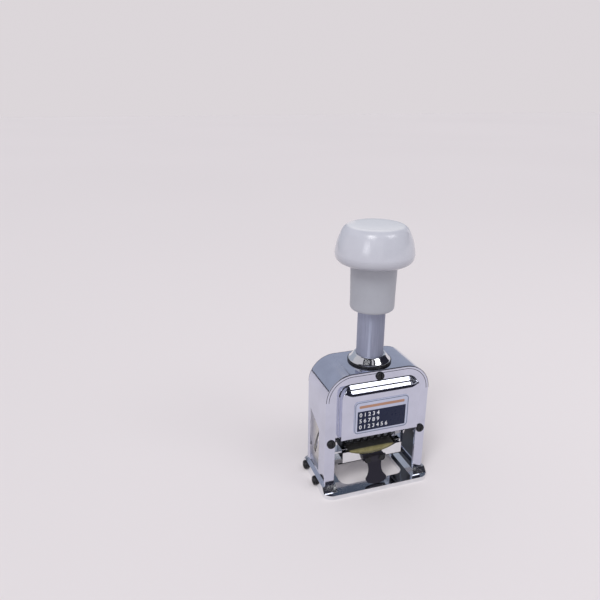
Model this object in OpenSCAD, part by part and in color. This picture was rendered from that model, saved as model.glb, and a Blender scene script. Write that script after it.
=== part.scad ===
// Automatic numbering machine: a plunger carries number wheels down through a window in the base,
// and the ink pad under the wheels swings out of their way. Millimetres, +Z up, -Y is the front.
// The origin is the centre of the base's underside.

/* [Casing] */
// Width of the casing across its legs
casing_w = 58; // [54:0.5:64]
// Depth of the casing from front to back
casing_d = 26.5; // [25:0.5:32]
// Height of the roof above the table
casing_top = 68.5; // [66:0.5:74]
// Radius of the two upper corners
arch_r = 14.3; // [8:0.1:18]
// Thickness of the casing's sheet
casing_t = 1.6; // [1.2:0.1:2]
// Width of a front leg, seen from the front
leg_w = 5.6; // [5:0.1:6]
// Half width of the window that the raised plate fills
plate_window_half = 22.1; // [21.5:0.1:22.4]
// Height of the window's top edge
window_top = 62.9; // [60:0.1:63.5]
// Depth of a front leg's side wall
leg_d = 9.2; // [7:0.1:10]
// Depth of a rear leg's side wall
rear_leg_d = 4.2; // [3:0.1:6]

/* [Front and back plates] */
// How far a raised plate stands out of the casing's face
plate_proud = 4; // [3:0.1:5]
// Thickness of a plate's sheet
plate_t = 1.2; // [0.8:0.1:1.4]
// Height of a plate's lower edge
plate_bottom = 33.3; // [32:0.1:35]
// Radius of a plate's upper corners
plate_corner_r = 5.7; // [3:0.1:7]
// Height at which the bevel along the top begins
bevel_z = 58.7; // [54:0.1:60]
// Width of the label
label_w = 30.5; // [20:0.5:34]
// Height of the label
label_h = 18.5; // [12:0.5:20]
// Height of the label's middle
label_z = 45.4; // [44:0.1:47]
// Thickness of the label
label_t = 0.4; // [0.3:0.1:0.8]

/* [Base] */
// How far the base reaches past the casing on each side
base_margin = 1.3; // [1:0.1:4]
// Depth of the base
base_d = 39; // [36:0.5:44]
// Thickness of the base's ring
base_t = 2.4; // [2:0.1:2.6]
// Height of the side rails that carry the legs
rail_h = 5; // [4.8:0.1:6]
// Radius of the base's corners
base_r = 5; // [3:0.5:7]
// Half width of the printing window
print_half_w = 18.3; // [17:0.1:19]
// Front edge of the printing window, from the middle
print_front = 12.5; // [12.5:0.1:13]
// Back edge of the printing window, from the middle
print_back = 10; // [9:0.1:12]

/* [Wheels] */
// Height of the wheel axle at rest
axle_z = 31; // [30.6:0.1:31.4]
// Radius of the wheel axle
axle_r = 3; // [2.6:0.1:3.4]
// Number of wheels
wheel_count = 7; // [7:1:7]
// Distance from one wheel to the next
wheel_pitch = 4; // [3.8:0.05:4.05]
// Printing radius of a wheel
wheel_r = 10; // [9.8:0.05:10.1]
// Gap between neighbouring wheels
wheel_gap = 0.3; // [0.2:0.05:0.4]
// Types on each wheel, one for each digit
type_count = 10; // [10:1:10]

/* [Slide] */
// Inner half distance between the two cheeks
cheek_x = 18; // [17.6:0.1:18.2]
// Thickness of a cheek
cheek_t = 1.6; // [1.2:0.1:1.8]
// Underside of the bridge that joins the cheeks
bridge_z = 43.5; // [43:0.1:44]
// Thickness of the bridge
bridge_t = 2.5; // [2:0.1:2.8]

/* [Stem and knob] */
// Outer radius of the stem tube
stem_r = 7.06; // [6.6:0.02:7.3]
// Wall of the stem tube
stem_t = 1; // [0.8:0.1:1.4]
// Underside of the grip above the table
grip_z = 97.5; // [96:0.5:110]
// Radius of the grip
grip_r = 11.7; // [10.5:0.1:13]
// Length of the grip that shows under the cap
grip_h = 24.5; // [20:0.5:32]
// Widest radius of the cap
cap_r = 19.7; // [17:0.1:22]
// Height of the cap
cap_h = 19.5; // [18:0.5:24]
// Radius of the collar's flange
collar_r = 11.5; // [10.6:0.1:12.5]
// Height of the collar above the roof
collar_h = 4.5; // [4:0.1:5]
// Radius of the stop pin
stop_pin_r = 1.5; // [1.2:0.1:1.8]
// Mean radius of the return spring
spring_r = 4.5; // [4:0.1:4.6]
// Wire radius of the return spring
spring_wire_r = 0.55; // [0.4:0.05:0.6]

/* [Ink pad] */
// Half width of the ink tray
tray_half_w = 17.3; // [16.5:0.1:17.5]
// Underside of the ink tray at rest
tray_z = 16.2; // [16:0.1:16.6]
// Height of the tray's walls
tray_h = 3; // [2:0.1:3.2]
// Half width of the ink felt
felt_half_w = 14; // [13.5:0.1:14.2]
// Radius of a cam pin
cam_pin_r = 1.3; // [1:0.1:1.5]
// Distance of a cam pin from the axle
cam_reach = 8; // [7.4:0.1:8.4]
// Angle that the pad swings through over the whole stroke
pad_swing = 94; // [90:1:96]

/* [Screws] */
// Head radius of the plate screws
screw_head_r = 2.3; // [1.8:0.1:2.4]
// Head radius of the base screws
base_head_r = 2.5; // [2:0.1:2.6]
// Shank radius of the screws
screw_r = 1.2; // [0.9:0.1:1.3]

/* [Fits] */
// Running clearance of a shaft in its hole
run_fit = 0.05; // [0.02:0.01:0.08]
// Gap between pieces that pass each other
pass_gap = 0.3; // [0.2:0.05:0.4]

/* [Hidden] */

chrome = "#b9bccb";
steel = "#8f94a3";
black = "#17171b";

cut = 1;                                    // how far a cutter runs past a face
stroke = axle_z - wheel_r;                  // the wheels come down to the table
face_y = casing_d / 2;                      // the casing's front and back faces
inner_y = face_y - casing_t;
inner_x = casing_w / 2 - casing_t;
leg_x = casing_w / 2 - leg_w;               // inner edge of a leg
leg_bottom = rail_h;
opening_low = rail_h + 3.5;                 // lower edge of a side opening
opening_high = 40;                          // its upper edge, at the rear
opening_fall = 6;                           // how much lower that edge is at the front
roof_z = casing_top - casing_t;
base_w = casing_w + 2 * base_margin;
plate_half = plate_window_half - pass_gap;
plate_y = face_y + plate_proud;

side_screw_x = casing_w / 2 - leg_w / 2 - 0.5;
side_screw_z = plate_bottom - 3.3;
top_screw_z = (window_top + casing_top) / 2 - 0.4;
flange_low = side_screw_z - 3.5;
head_t = 1.3;

rail_x = 22.6;                              // inner face of a side rail
rail_half_d = 16.5;
tongue_half_d = face_y - 0.25;
tongue_z = 1;
base_screw_z = base_head_r + 0.1;
base_screw_ys = [-3.9, face_y - screw_r - 1];
base_head_t = 2.3;

sleeve_r = stem_r + run_fit + 1.9;          // the collar's sleeve inside the casing
bridge_top = bridge_z + bridge_t;
foot_t = 2;
foot_r = stem_r + 3.4;
sleeve_z = bridge_top + foot_t + 0.4;
collar_top = casing_top + collar_h;
stop_z = sleeve_z + stop_pin_r + 0.4;
slot_half = stop_pin_r + 0.15;
nut_t = 3.4;
nut_r = 11.5;

cap_z = grip_z + grip_h;
cap_top = cap_z + cap_h;
cap_wide_z = cap_z + 5.5;                   // height of the cap's widest ring
cap_lip_r = cap_r - 3.2;                    // radius of the cap's underside
cap_power = 3;                              // how flat the crown is
cap_seat = 2;                               // depth of the grip's seat in the cap
grip_round = 2;                             // rounding of the grip's lower edge
stem_top = cap_z - 4;
plug_t = 7;
seat_t = 1;
spring_low = stop_z + stop_pin_r + seat_t;
spring_high = stem_top - plug_t - 0.1;
spring_turns = 12;
spring_sides = 6;
spring_rings = 8;
stud_r = 2;
stud_z = stem_top - plug_t + 1;
stud_top = cap_z + cap_h / 2;

cheek_half_d = 8.5;
cheek_ring_r = 6.7;
ear_t = 1.4;
ear_half_d = 5;
ear_low = 38.5;
ear_rivet_z = 41;
rivet_r = 1;
rivet_head_r = 1.8;

arm_x = cheek_x + cheek_t + 0.4;            // inner face of a pad arm
arm_t = 1.4;
arm_ring_r = 5.5;
clip_t = 0.8;
clip_x = arm_x + arm_t + 0.1;
axle_half = clip_x + clip_t + 0.2;
cam_plate_t = 1.2;
cam_plate_x = inner_x - cam_plate_t;        // inner face of a cam plate
cam_plate_low = 7;
cam_plate_high = 45;
lug_reach = 2.6;                            // how far a cam plate's lug goes past its screw
lug_half_h = 3;
cam_start = 130;                            // angle of the cam pin from straight down, towards the front
cam_steps = 20;
slot_end_steps = 10;

hub_r = 0.76 * wheel_r;
ratchet_r = 0.86 * wheel_r;
type_w = 0.675 * wheel_pitch;
wheel_w = wheel_pitch - wheel_gap;
comb_r = ratchet_r + pass_gap;              // tips of the combs
comb_bar_r = wheel_r + 1.3;
comb_bar_t = 1.4;
comb_bar_w = 3.6;
finger_w = 0.5;
finger_h = 1.2;
finger_x = type_w / 2;                      // middle of the ratchet, from the middle of its wheel
yoke_gap = 0.9;                             // from the wheel stack to the yoke's arms
yoke_x = wheel_count * wheel_pitch / 2 + yoke_gap;
yoke_t = 1.2;
yoke_angle = 50;                            // angle of the pawl bar above the rear horizontal
yoke_swing = 30;
detent_angle = 65;                          // angle of the detent comb above the front horizontal

tray_front = 9.5;
tray_back = 7.5;
tray_t = 0.8;
tray_end_h = 5.4;                           // height of the tray's end blocks
felt_top = axle_z - wheel_r - 0.4;
tab_y = tray_front + 2;                     // back face of the pull tab
tab_t = 1.2;
lip_high = 20.4;                            // the tray's front wall reaches this high at its ends
lip_low = 17.2;                             // and this high in the middle, so that the felt shows over it
lip_bow_r = (felt_half_w * felt_half_w + pow(lip_high - lip_low, 2)) / 2 / (lip_high - lip_low);
skirt_z = 14;                               // lower edge of the tray's front wall
tab_low = 2.8;
tab_bend_z = 13.5;                          // below this the tab leans forwards
tab_lean = 4.8;                             // how far forwards its lower edge stands
tab_high = lip_low - 0.1;
tab_neck = 3.6;                             // half width of the tab's neck
tab_neck_z = 10.4;
tab_curve_r = 9;                            // radius of the flare above the neck
tab_foot_r = 12;                            // radius of the foot's lower edge
tab_corner_r = 1.3;
tab_corner_x = 4.6;
tab_corner_z = tab_low + tab_foot_r - sqrt(pow(tab_foot_r - tab_corner_r, 2) - pow(tab_corner_x, 2));
tab_waist = tab_corner_x - tab_neck;
tab_side_r = (pow(tab_waist, 2) + pow(tab_neck_z - tab_corner_z, 2) - pow(tab_corner_r, 2)) / 2 / (tab_waist + tab_corner_r);
tongue_half_w = 6;                          // tongue behind the tab that reaches the tray
tongue_up = 0.2;
pad_rivet_x = 4.2;
pad_rivet_head_t = 0.6;

selector_x = 13;
selector_z = 50.3;
selector_r = 4;
selector_t = 1;
selector_pin_r = 1.2;
selector_ear_t = 1.2;
selector_y = 7.9;                           // back face of the ear that carries the selector

// ---- shared shapes ----

// A rectangle with round corners, centred on the origin
module round_rect(w, h, r) {
    square([w - 2 * r, h], center = true);
    square([w, h - 2 * r], center = true);
    for (x = [-1, 1], y = [-1, 1])
        translate([x * (w / 2 - r), y * (h / 2 - r)]) circle(r = r, $fn = 64);
}

// The arch seen from the front: straight sides and two round upper corners
module arch(w, low, top, r) {
    translate([-w / 2 + r, low]) square([w - 2 * r, top - low]);
    translate([-w / 2, low]) square([w, top - r - low]);
    for (x = [-1, 1]) translate([x * (w / 2 - r), top - r]) circle(r = r, $fn = 96);
}

// Extrudes a front view through y from a to b
module front_slab(a, b) {
    translate([0, b, 0]) rotate([90, 0, 0]) linear_extrude(b - a) children();
}

// Extrudes a side view, drawn in y and z, through x from a to b
module side_slab(a, b) {
    translate([a, 0, 0]) rotate([90, 0, 90]) linear_extrude(b - a) children();
}

// A cylinder along X from a to b
module x_rod(r, a, b, y = 0, z = 0) {
    translate([a, y, z]) rotate([0, 90, 0]) cylinder(r = r, h = b - a, $fn = 48);
}

// A cylinder along Y from a to b
module y_rod(r, a, b, x = 0, z = 0) {
    translate([x, a, z]) rotate([-90, 0, 0]) cylinder(r = r, h = b - a, $fn = 48);
}

// Repeats a piece on the right and, turned over, on the left
module both_sides() {
    children();
    mirror([1, 0, 0]) children();
}

// ---- casing ----

module casing_outer() {
    front_slab(-face_y, face_y) arch(casing_w, leg_bottom, casing_top, arch_r);
    // tongues that reach down into the base
    both_sides() translate([inner_x, -tongue_half_d, tongue_z])
        cube([casing_t, 2 * tongue_half_d, leg_bottom - tongue_z + cut]);
}

module casing_window() {
    arch(2 * plate_window_half, leg_bottom + cut, window_top, plate_corner_r + pass_gap);
    translate([-leg_x, leg_bottom - 2 * cut]) square([2 * leg_x, plate_bottom - leg_bottom + cut]);
}

module side_opening() {
    front_y = -face_y + leg_d;
    back_y = face_y - rear_leg_d;
    polygon([[front_y, opening_low], [back_y, opening_low], [back_y, opening_high], [front_y, opening_high - opening_fall]]);
}

module casing_shell() {
    color(chrome) difference() {
        casing_outer();
        front_slab(-inner_y, inner_y) arch(2 * inner_x, leg_bottom - 2 * cut - tongue_z, roof_z, arch_r - casing_t);
        front_slab(-face_y - cut, face_y + cut) casing_window();
        side_slab(-casing_w, casing_w) side_opening();
        translate([0, 0, roof_z - cut]) cylinder(r = sleeve_r, h = casing_t + 2 * cut, $fn = 96);
        plate_screw_places() y_rod(screw_r, -face_y - cut, -inner_y + cut);
        mirror([0, 1, 0]) plate_screw_places() y_rod(screw_r, -face_y - cut, -inner_y + cut);
        base_screw_places() x_rod(screw_r, inner_x - cut, casing_w / 2 + cut);
    }
}

module side_screw_places() {
    for (x = [-side_screw_x, side_screw_x]) translate([x, 0, side_screw_z]) children();
}

module top_screw_place() {
    translate([0, 0, top_screw_z]) children();
}

module plate_screw_places() {
    side_screw_places() children();
    top_screw_place() children();
}

module base_screw_places() {
    for (side = [0, 1], y = base_screw_ys)
        mirror([side, 0, 0]) translate([0, y, base_screw_z]) children();
}

// Side view of the raised part of a plate; inset moves its faces inwards
module pan_profile(inset) {
    front = -plate_y + inset;
    low = plate_bottom + inset;
    top = window_top - pass_gap - inset;
    back = -inner_y + (inset > 0 ? cut : 0);
    polygon([[back, low], [front, low], [front, bevel_z - inset / 2],
             [-face_y + inset, top], [back, top]]);
}

// Front view of the raised part, with round upper corners
module pan_front(inset, low) {
    arch(2 * (plate_half - inset), low, window_top - pass_gap - inset, plate_corner_r - inset);
}

module pan(inset) {
    intersection() {
        side_slab(-plate_half + inset, plate_half - inset) pan_profile(inset);
        front_slab(-plate_y - cut, inner_y) pan_front(inset, plate_bottom - cut);
    }
}

module plate_flange() {
    front_slab(-inner_y, -inner_y + plate_t) difference() {
        arch(2 * (inner_x - pass_gap), flange_low, roof_z - pass_gap, arch_r - casing_t - pass_gap);
        pan_front(plate_t, flange_low - cut);
    }
}

module raised_plate() {
    difference() {
        union() {
            pan(0);
            plate_flange();
        }
        pan(plate_t);
        plate_screw_places() y_rod(screw_r, -inner_y - cut, -inner_y + plate_t + cut);
        translate([-leg_x, -plate_y - cut, flange_low - cut])
            cube([2 * leg_x, plate_y, plate_bottom - flange_low + cut]);
    }
}

module front_plate() {
    color(chrome) raised_plate();
}

module back_plate() {
    color(chrome) mirror([0, 1, 0]) raised_plate();
}

module label_plate() {
    color("#5d6b86") translate([0, 0, label_z])
        front_slab(-plate_y - label_t, -plate_y) round_rect(label_w, label_h, 1.6);
}

// A screw with a round, slightly domed head that sits on y = -face_y, and a shank that passes the sheets behind
module plate_screw(behind) {
    y_rod(screw_r, -face_y, -inner_y + behind);
    translate([0, -face_y, 0]) rotate([90, 0, 0]) difference() {
        union() {
            cylinder(r = screw_head_r, h = head_t * 0.6, $fn = 48);
            translate([0, 0, head_t * 0.6])
                cylinder(r1 = screw_head_r, r2 = screw_head_r * 0.72, h = head_t * 0.4, $fn = 48);
        }
        translate([-screw_head_r, -0.3, head_t * 0.5]) cube([2 * screw_head_r, 0.6, head_t]);
    }
}

module plate_screw_set() {
    side_screw_places() plate_screw(plate_t + cam_plate_t);
    top_screw_place() plate_screw(plate_t);
}

module plate_screws() {
    color(black) plate_screw_set();
}

module back_screws() {
    color(black) mirror([0, 1, 0]) plate_screw_set();
}

// ---- base ----

module base_frame() {
    window_d = print_front + print_back;
    color(chrome) difference() {
        union() {
            linear_extrude(base_t) round_rect(base_w, base_d, base_r);
            both_sides() side_slab(rail_x, base_w / 2)
                polygon([[-rail_half_d, base_t - 0.2], [-rail_half_d + rail_h - base_t, rail_h],
                         [rail_half_d - rail_h + base_t, rail_h], [rail_half_d, base_t - 0.2]]);
        }
        translate([0, (print_back - print_front) / 2, -cut])
            linear_extrude(base_t + 2 * cut) round_rect(2 * print_half_w, window_d, 4.5);
        both_sides() translate([inner_x, -tongue_half_d, tongue_z])
            cube([casing_t, 2 * tongue_half_d, rail_h]);
        base_screw_places() x_rod(screw_r, inner_x - 3, base_w / 2 + cut);
    }
}

module base_screw() {
    x_rod(screw_r, inner_x - 3, base_w / 2);
    difference() {
        union() {
            x_rod(base_head_r, base_w / 2, base_w / 2 + base_head_t * 0.75);
            translate([base_w / 2 + base_head_t * 0.75, 0, 0]) rotate([0, 90, 0])
                cylinder(r1 = base_head_r, r2 = base_head_r * 0.7, h = base_head_t * 0.25, $fn = 48);
        }
        translate([base_w / 2 + base_head_t * 0.6, -base_head_r, -0.35]) cube([base_head_t, 2 * base_head_r, 0.7]);
    }
}

module base_screws() {
    color(black) base_screw_places() base_screw();
}

// ---- collar, stop and spring ----

module guide_collar() {
    color(chrome) difference() {
        union() {
            translate([0, 0, sleeve_z]) cylinder(r = sleeve_r, h = collar_top - 1 - sleeve_z, $fn = 96);
            translate([0, 0, casing_top]) cylinder(r = collar_r, h = 1.2, $fn = 96);
            translate([0, 0, casing_top + 1.2])
                cylinder(r1 = collar_r - 0.6, r2 = stem_r + 1.1, h = collar_h - 1.2, $fn = 96);
        }
        translate([0, 0, sleeve_z - cut])
            cylinder(r = stem_r + run_fit, h = collar_top - sleeve_z + 2 * cut, $fn = 96);
        x_rod(stop_pin_r, -sleeve_r - cut, sleeve_r + cut, 0, stop_z);
    }
}

module collar_nut() {
    color(steel) translate([0, 0, roof_z - nut_t]) difference() {
        cylinder(r = nut_r, h = nut_t, $fn = 6);
        translate([0, 0, -cut]) cylinder(r = sleeve_r, h = nut_t + 2 * cut, $fn = 96);
    }
}

module stop_pin() {
    color(steel) x_rod(stop_pin_r, -sleeve_r + 0.3, sleeve_r - 0.3, 0, stop_z);
}

module spring_seat() {
    color(steel) translate([0, 0, stop_z + stop_pin_r])
        cylinder(r = stem_r - stem_t - pass_gap, h = seat_t, $fn = 48);
}

// Points of the spring's wire: ring k, side j
function spring_point(k, j) =
    let (a = 360 * k / spring_rings, b = 360 * j / spring_sides,
         climb = (spring_high - spring_low - 2 * spring_wire_r) / (spring_turns * spring_rings),
         r = spring_r + spring_wire_r * cos(b))
    [r * cos(a), r * sin(a), spring_low + spring_wire_r + climb * k + spring_wire_r * sin(b)];

module return_spring() {
    rings = spring_turns * spring_rings;
    n = spring_sides;
    points = [for (k = [0:rings], j = [0:n - 1]) spring_point(k, j)];
    sides = [for (k = [0:rings - 1], j = [0:n - 1], half = [0, 1])
        let (a = k * n + j, b = k * n + (j + 1) % n, c = a + n, d = b + n)
        half == 0 ? [a, c, b] : [b, c, d]];
    start = [for (j = [1:n - 2]) [0, j, j + 1]];
    end = [for (j = [1:n - 2]) [rings * n, rings * n + j + 1, rings * n + j]];
    echo(least_gap_between_turns = (spring_high - spring_low - 2 * spring_wire_r) / spring_turns - 2 * spring_wire_r);
    color(steel) polyhedron(points = points, faces = concat(sides, start, end));
}

// ---- cams ----

// Place of a cam pin, in y and z, when the plunger has gone down by the share t of its stroke
function cam_point(t) =
    let (a = cam_start + pad_swing * t)
    [-cam_reach * sin(a), axle_z - stroke * t - cam_reach * cos(a)];

// Direction of travel of a cam pin at the share t of the stroke, as an angle
function cam_heading(t) =
    let (d = cam_point(min(t + 0.01, 1)) - cam_point(max(t - 0.01, 0)))
    atan2(d[1], d[0]);

function around(centre, r, a) = centre + r * [cos(a), sin(a)];

// Slot along the cam pins' way, as one outline with round ends
module cam_slot() {
    w = cam_pin_r + pass_gap;
    steps = [0:cam_steps];
    turns = [1:slot_end_steps - 1];
    polygon(concat(
        [for (i = steps) around(cam_point(i / cam_steps), w, cam_heading(i / cam_steps) + 90)],
        [for (i = turns) around(cam_point(1), w, cam_heading(1) + 90 - 180 * i / slot_end_steps)],
        [for (i = steps) around(cam_point(1 - i / cam_steps), w, cam_heading(1 - i / cam_steps) - 90)],
        [for (i = turns) around(cam_point(0), w, cam_heading(0) - 90 - 180 * i / slot_end_steps)]
    ));
}

module cam_plate() {
    difference() {
        union() {
            side_slab(cam_plate_x, inner_x) difference() {
                translate([-inner_y, cam_plate_low]) square([2 * inner_y, cam_plate_high - cam_plate_low]);
                cam_slot();
            }
            // bent lug behind the front plate's flange, held by the side screw
            for (y = [-inner_y + plate_t, inner_y - plate_t - cam_plate_t])
                translate([side_screw_x - lug_reach, y, side_screw_z - lug_half_h])
                    cube([inner_x - side_screw_x + lug_reach, cam_plate_t, 2 * lug_half_h]);
        }
        // relief for the two plates' flanges
        for (side = [0, 1]) mirror([0, side, 0])
            translate([cam_plate_x - cut, -inner_y - cut, flange_low - pass_gap])
                cube([cam_plate_t + 2 * cut, plate_t + cut, casing_top]);
        y_rod(screw_r, -inner_y, inner_y, side_screw_x, side_screw_z);
    }
}

module right_cam_plate() {
    color(steel) cam_plate();
}

module left_cam_plate() {
    color(steel) mirror([1, 0, 0]) cam_plate();
}

// ---- knob and stem ----

// Half outline of the cap: a round lower lip, then a flat-topped dome
function cap_radius(z) =
    let (up = (z - cap_wide_z) / (cap_top - cap_wide_z), down = (cap_wide_z - z) / (cap_wide_z - cap_z))
    z > cap_wide_z ? cap_r * pow(max(0, 1 - pow(up, cap_power)), 1 / cap_power)
                   : cap_r - (cap_r - cap_lip_r) * (1 - sqrt(1 - pow(min(1, down), 2)));

module knob_cap() {
    steps = 28;
    heights = [for (i = [0:steps]) cap_z + cap_h * (1 - cos(90 + 90 * (2 * i / steps - 1))) / 2];
    color("#d4d9dc") difference() {
        rotate_extrude($fn = 128) polygon(concat([[0, cap_z]], [for (z = heights) [cap_radius(z), z]]));
        translate([0, 0, cap_z - cut]) cylinder(r = grip_r, h = cut + cap_seat, $fn = 96);
        translate([0, 0, cap_z - cut]) cylinder(r = stud_r, h = stud_top - cap_z + cut, $fn = 48);
    }
}

module knob_grip() {
    low_r = grip_r - 0.4;
    color("#a9b0b0") difference() {
        rotate_extrude($fn = 128) {
            translate([0, grip_z]) square([low_r - grip_round, 2 * grip_round]);
            translate([low_r - grip_round, grip_z + grip_round]) circle(r = grip_round, $fn = 64);
            polygon([[0, grip_z + grip_round], [low_r, grip_z + grip_round], [grip_r, cap_z],
                     [grip_r, cap_z + cap_seat], [0, cap_z + cap_seat]]);
        }
        translate([0, 0, grip_z - cut]) cylinder(r = stem_r, h = stem_top - grip_z + cut, $fn = 96);
        translate([0, 0, stem_top - cut]) cylinder(r = stud_r, h = cap_z + cap_seat - stem_top + 2 * cut, $fn = 48);
    }
}

module knob_stud() {
    color(steel) translate([0, 0, stud_z]) cylinder(r = stud_r, h = stud_top - stud_z, $fn = 48);
}

module stem_tube() {
    color(steel) difference() {
        union() {
            translate([0, 0, bridge_top]) cylinder(r = stem_r, h = stem_top - bridge_top, $fn = 96);
            translate([0, 0, bridge_top]) cylinder(r = foot_r, h = foot_t, $fn = 96);
        }
        translate([0, 0, bridge_top - cut]) cylinder(r = stem_r - stem_t, h = stem_top - bridge_top + 2 * cut, $fn = 96);
        // slots for the stop pin
        x_rod(slot_half, -stem_r - cut, stem_r + cut, 0, stop_z);
        x_rod(slot_half, -stem_r - cut, stem_r + cut, 0, stop_z + stroke);
        translate([-stem_r - cut, -slot_half, stop_z]) cube([2 * (stem_r + cut), 2 * slot_half, stroke]);
        stem_screw_places() translate([0, 0, bridge_top - cut]) cylinder(r = rivet_r, h = foot_t + 2 * cut, $fn = 32);
    }
}

module spring_plug() {
    color(steel) translate([0, 0, stem_top - plug_t]) difference() {
        cylinder(r = stem_r - stem_t, h = plug_t, $fn = 64);
        translate([0, 0, stud_z - stem_top + plug_t]) cylinder(r = stud_r, h = plug_t, $fn = 48);
    }
}

module stem_screw_places() {
    for (a = [45:90:315]) rotate([0, 0, a]) translate([stem_r + 1.7, 0, 0]) children();
}

module stem_screws() {
    color(black) stem_screw_places() translate([0, 0, bridge_z]) cylinder(r = rivet_r, h = bridge_t + foot_t, $fn = 32);
}

// ---- slide ----

module slider_bridge() {
    color(steel) difference() {
        union() {
            translate([-cheek_x - cheek_t, -cheek_half_d, bridge_z])
                cube([2 * (cheek_x + cheek_t), 2 * cheek_half_d, bridge_t]);
            both_sides() translate([cheek_x - ear_t, -ear_half_d, ear_low])
                cube([ear_t, 2 * ear_half_d, bridge_z - ear_low + cut]);
            // upright ear that carries the repeat selector
            translate([-selector_x - 4.5, selector_y - selector_ear_t, bridge_z])
                cube([9, selector_ear_t, selector_z + 3.5 - bridge_z]);
        }
        stem_screw_places() translate([0, 0, bridge_z - cut]) cylinder(r = rivet_r, h = bridge_t + 2 * cut, $fn = 32);
        cheek_rivet_places() x_rod(rivet_r, cheek_x - ear_t - cut, cheek_x + cut);
        y_rod(selector_pin_r + run_fit, selector_y - 2 * selector_ear_t, selector_y + cut, -selector_x, selector_z);
    }
}

module cheek_rivet_places() {
    for (side = [0, 1], y = [-3, 3]) mirror([side, 0, 0]) translate([0, y, ear_rivet_z]) children();
}

module cheek() {
    difference() {
        union() {
            x_rod(cheek_ring_r, cheek_x, cheek_x + cheek_t, 0, axle_z);
            translate([cheek_x, -cheek_ring_r + 0.3, axle_z])
                cube([cheek_t, 2 * cheek_ring_r - 0.6, bridge_z - axle_z]);
            translate([cheek_x, -cheek_half_d, ear_low - 1]) cube([cheek_t, 2 * cheek_half_d, bridge_z - ear_low + 1]);
        }
        x_rod(axle_r, cheek_x - cut, cheek_x + cheek_t + cut, 0, axle_z);
        for (y = [-3, 3]) x_rod(rivet_r, cheek_x - cut, cheek_x + cheek_t + cut, y, ear_rivet_z);
    }
}

module right_cheek() {
    color(chrome) cheek();
}

module left_cheek() {
    color(chrome) mirror([1, 0, 0]) cheek();
}

module cheek_rivets() {
    color(steel) cheek_rivet_places() x_rod(rivet_r, cheek_x - ear_t, cheek_x + cheek_t);
}

module wheel_axle() {
    color(steel) x_rod(axle_r, -axle_half, axle_half, 0, axle_z);
}

module axle_clips() {
    color(black) both_sides() difference() {
        x_rod(axle_r + 1.8, clip_x, clip_x + clip_t, 0, axle_z);
        x_rod(axle_r, clip_x - cut, clip_x + clip_t + cut, 0, axle_z);
    }
}

// A bar along the wheels with one thin finger for each ratchet, on the rear side, at an angle above the horizontal
module comb(half_w, angle, bar) {
    translate([0, 0, axle_z]) rotate([angle, 0, 0]) {
        if (bar) translate([-half_w, comb_bar_r, -comb_bar_w / 2]) cube([2 * half_w, comb_bar_t, comb_bar_w]);
        else for (i = [0:wheel_count - 1])
            translate([wheel_x(i) + finger_x - finger_w / 2, comb_r, -finger_h / 2])
                cube([finger_w, comb_bar_r - comb_r, finger_h]);
    }
}

module detent_comb() {
    color(steel) mirror([0, 1, 0]) {
        comb(cheek_x - ear_t - pass_gap, detent_angle, true);
        comb(cheek_x - ear_t - pass_gap, detent_angle, false);
    }
}

module repeat_selector() {
    color(black) {
        y_rod(selector_pin_r, selector_y - selector_ear_t - 0.4, selector_y + pass_gap + 0.2, -selector_x, selector_z);
        y_rod(selector_r, selector_y + pass_gap, selector_y + pass_gap + selector_t, -selector_x, selector_z);
        translate([-selector_x - selector_t / 2, selector_y + pass_gap + selector_t - 0.2, selector_z - selector_r + 0.6])
            cube([selector_t, selector_t, 2 * selector_r - 1.2]);
    }
}

// ---- ink pad ----

// Front view of the tray's front wall
module lip_outline() {
    difference() {
        translate([-tray_half_w, skirt_z]) square([2 * tray_half_w, lip_high - skirt_z]);
        translate([0, lip_low + lip_bow_r]) circle(r = lip_bow_r, $fn = 256);
    }
}

module pad_tray() {
    foot_h = 1;
    color(chrome) difference() {
        union() {
            translate([-tray_half_w, -tray_front + tray_t, tray_z])
                cube([2 * tray_half_w, tray_front - tray_t + tray_back, tray_h]);
            front_slab(-tray_front, -tray_front + tray_t) lip_outline();
            // feet that reach out to the arms
            translate([-arm_x, -3, tray_z]) cube([2 * arm_x, 6, foot_h]);
            both_sides() translate([felt_half_w + pass_gap, -tray_front + 1.5, tray_z])
                cube([tray_half_w - felt_half_w - pass_gap, tray_front + tray_back - 3, tray_end_h]);
        }
        translate([-felt_half_w - pass_gap, -tray_front + tray_t, tray_z + tray_t])
            cube([2 * (felt_half_w + pass_gap), tray_front + tray_back - 2 * tray_t, tray_end_h]);
        pad_rivet_places() y_rod(rivet_r, -tray_front - cut, -tray_front + tray_t + cut);
    }
}

module ink_felt() {
    color("#8e8749") translate([-felt_half_w, -tray_front + tray_t + pass_gap / 3, tray_z + tray_t])
        cube([2 * felt_half_w, tray_front + tray_back - 2 * tray_t - pass_gap, felt_top - tray_z - tray_t]);
}

module pad_rivet_places() {
    for (x = [-1, 1]) translate([x * pad_rivet_x, 0, (skirt_z + lip_low) / 2]) children();
}

// Points on an arc from angle a to angle b, without the last one
function arc(x, y, r, a, b, n = 12) = [for (i = [0:n - 1]) [x + r * cos(a + (b - a) * i / n), y + r * sin(a + (b - a) * i / n)]];

// Right half of the pull tab's outline: a flare at the top, a narrow neck and a foot shaped like a bell's mouth
function tab_half() =
    let (flare = asin((tab_high - tab_neck_z) / tab_curve_r),
         side = atan2(tab_neck_z - tab_corner_z, tab_side_r - tab_waist),
         corner = asin(tab_corner_x / (tab_foot_r - tab_corner_r)) - 90)
    concat(arc(tab_neck + tab_curve_r, tab_neck_z, tab_curve_r, 180 - flare, 180),
           arc(tab_neck + tab_side_r, tab_neck_z, tab_side_r, 180, 180 + side),
           arc(tab_corner_x, tab_corner_z, tab_corner_r, side, corner),
           arc(0, tab_low + tab_foot_r, tab_foot_r, corner, -90));

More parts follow.
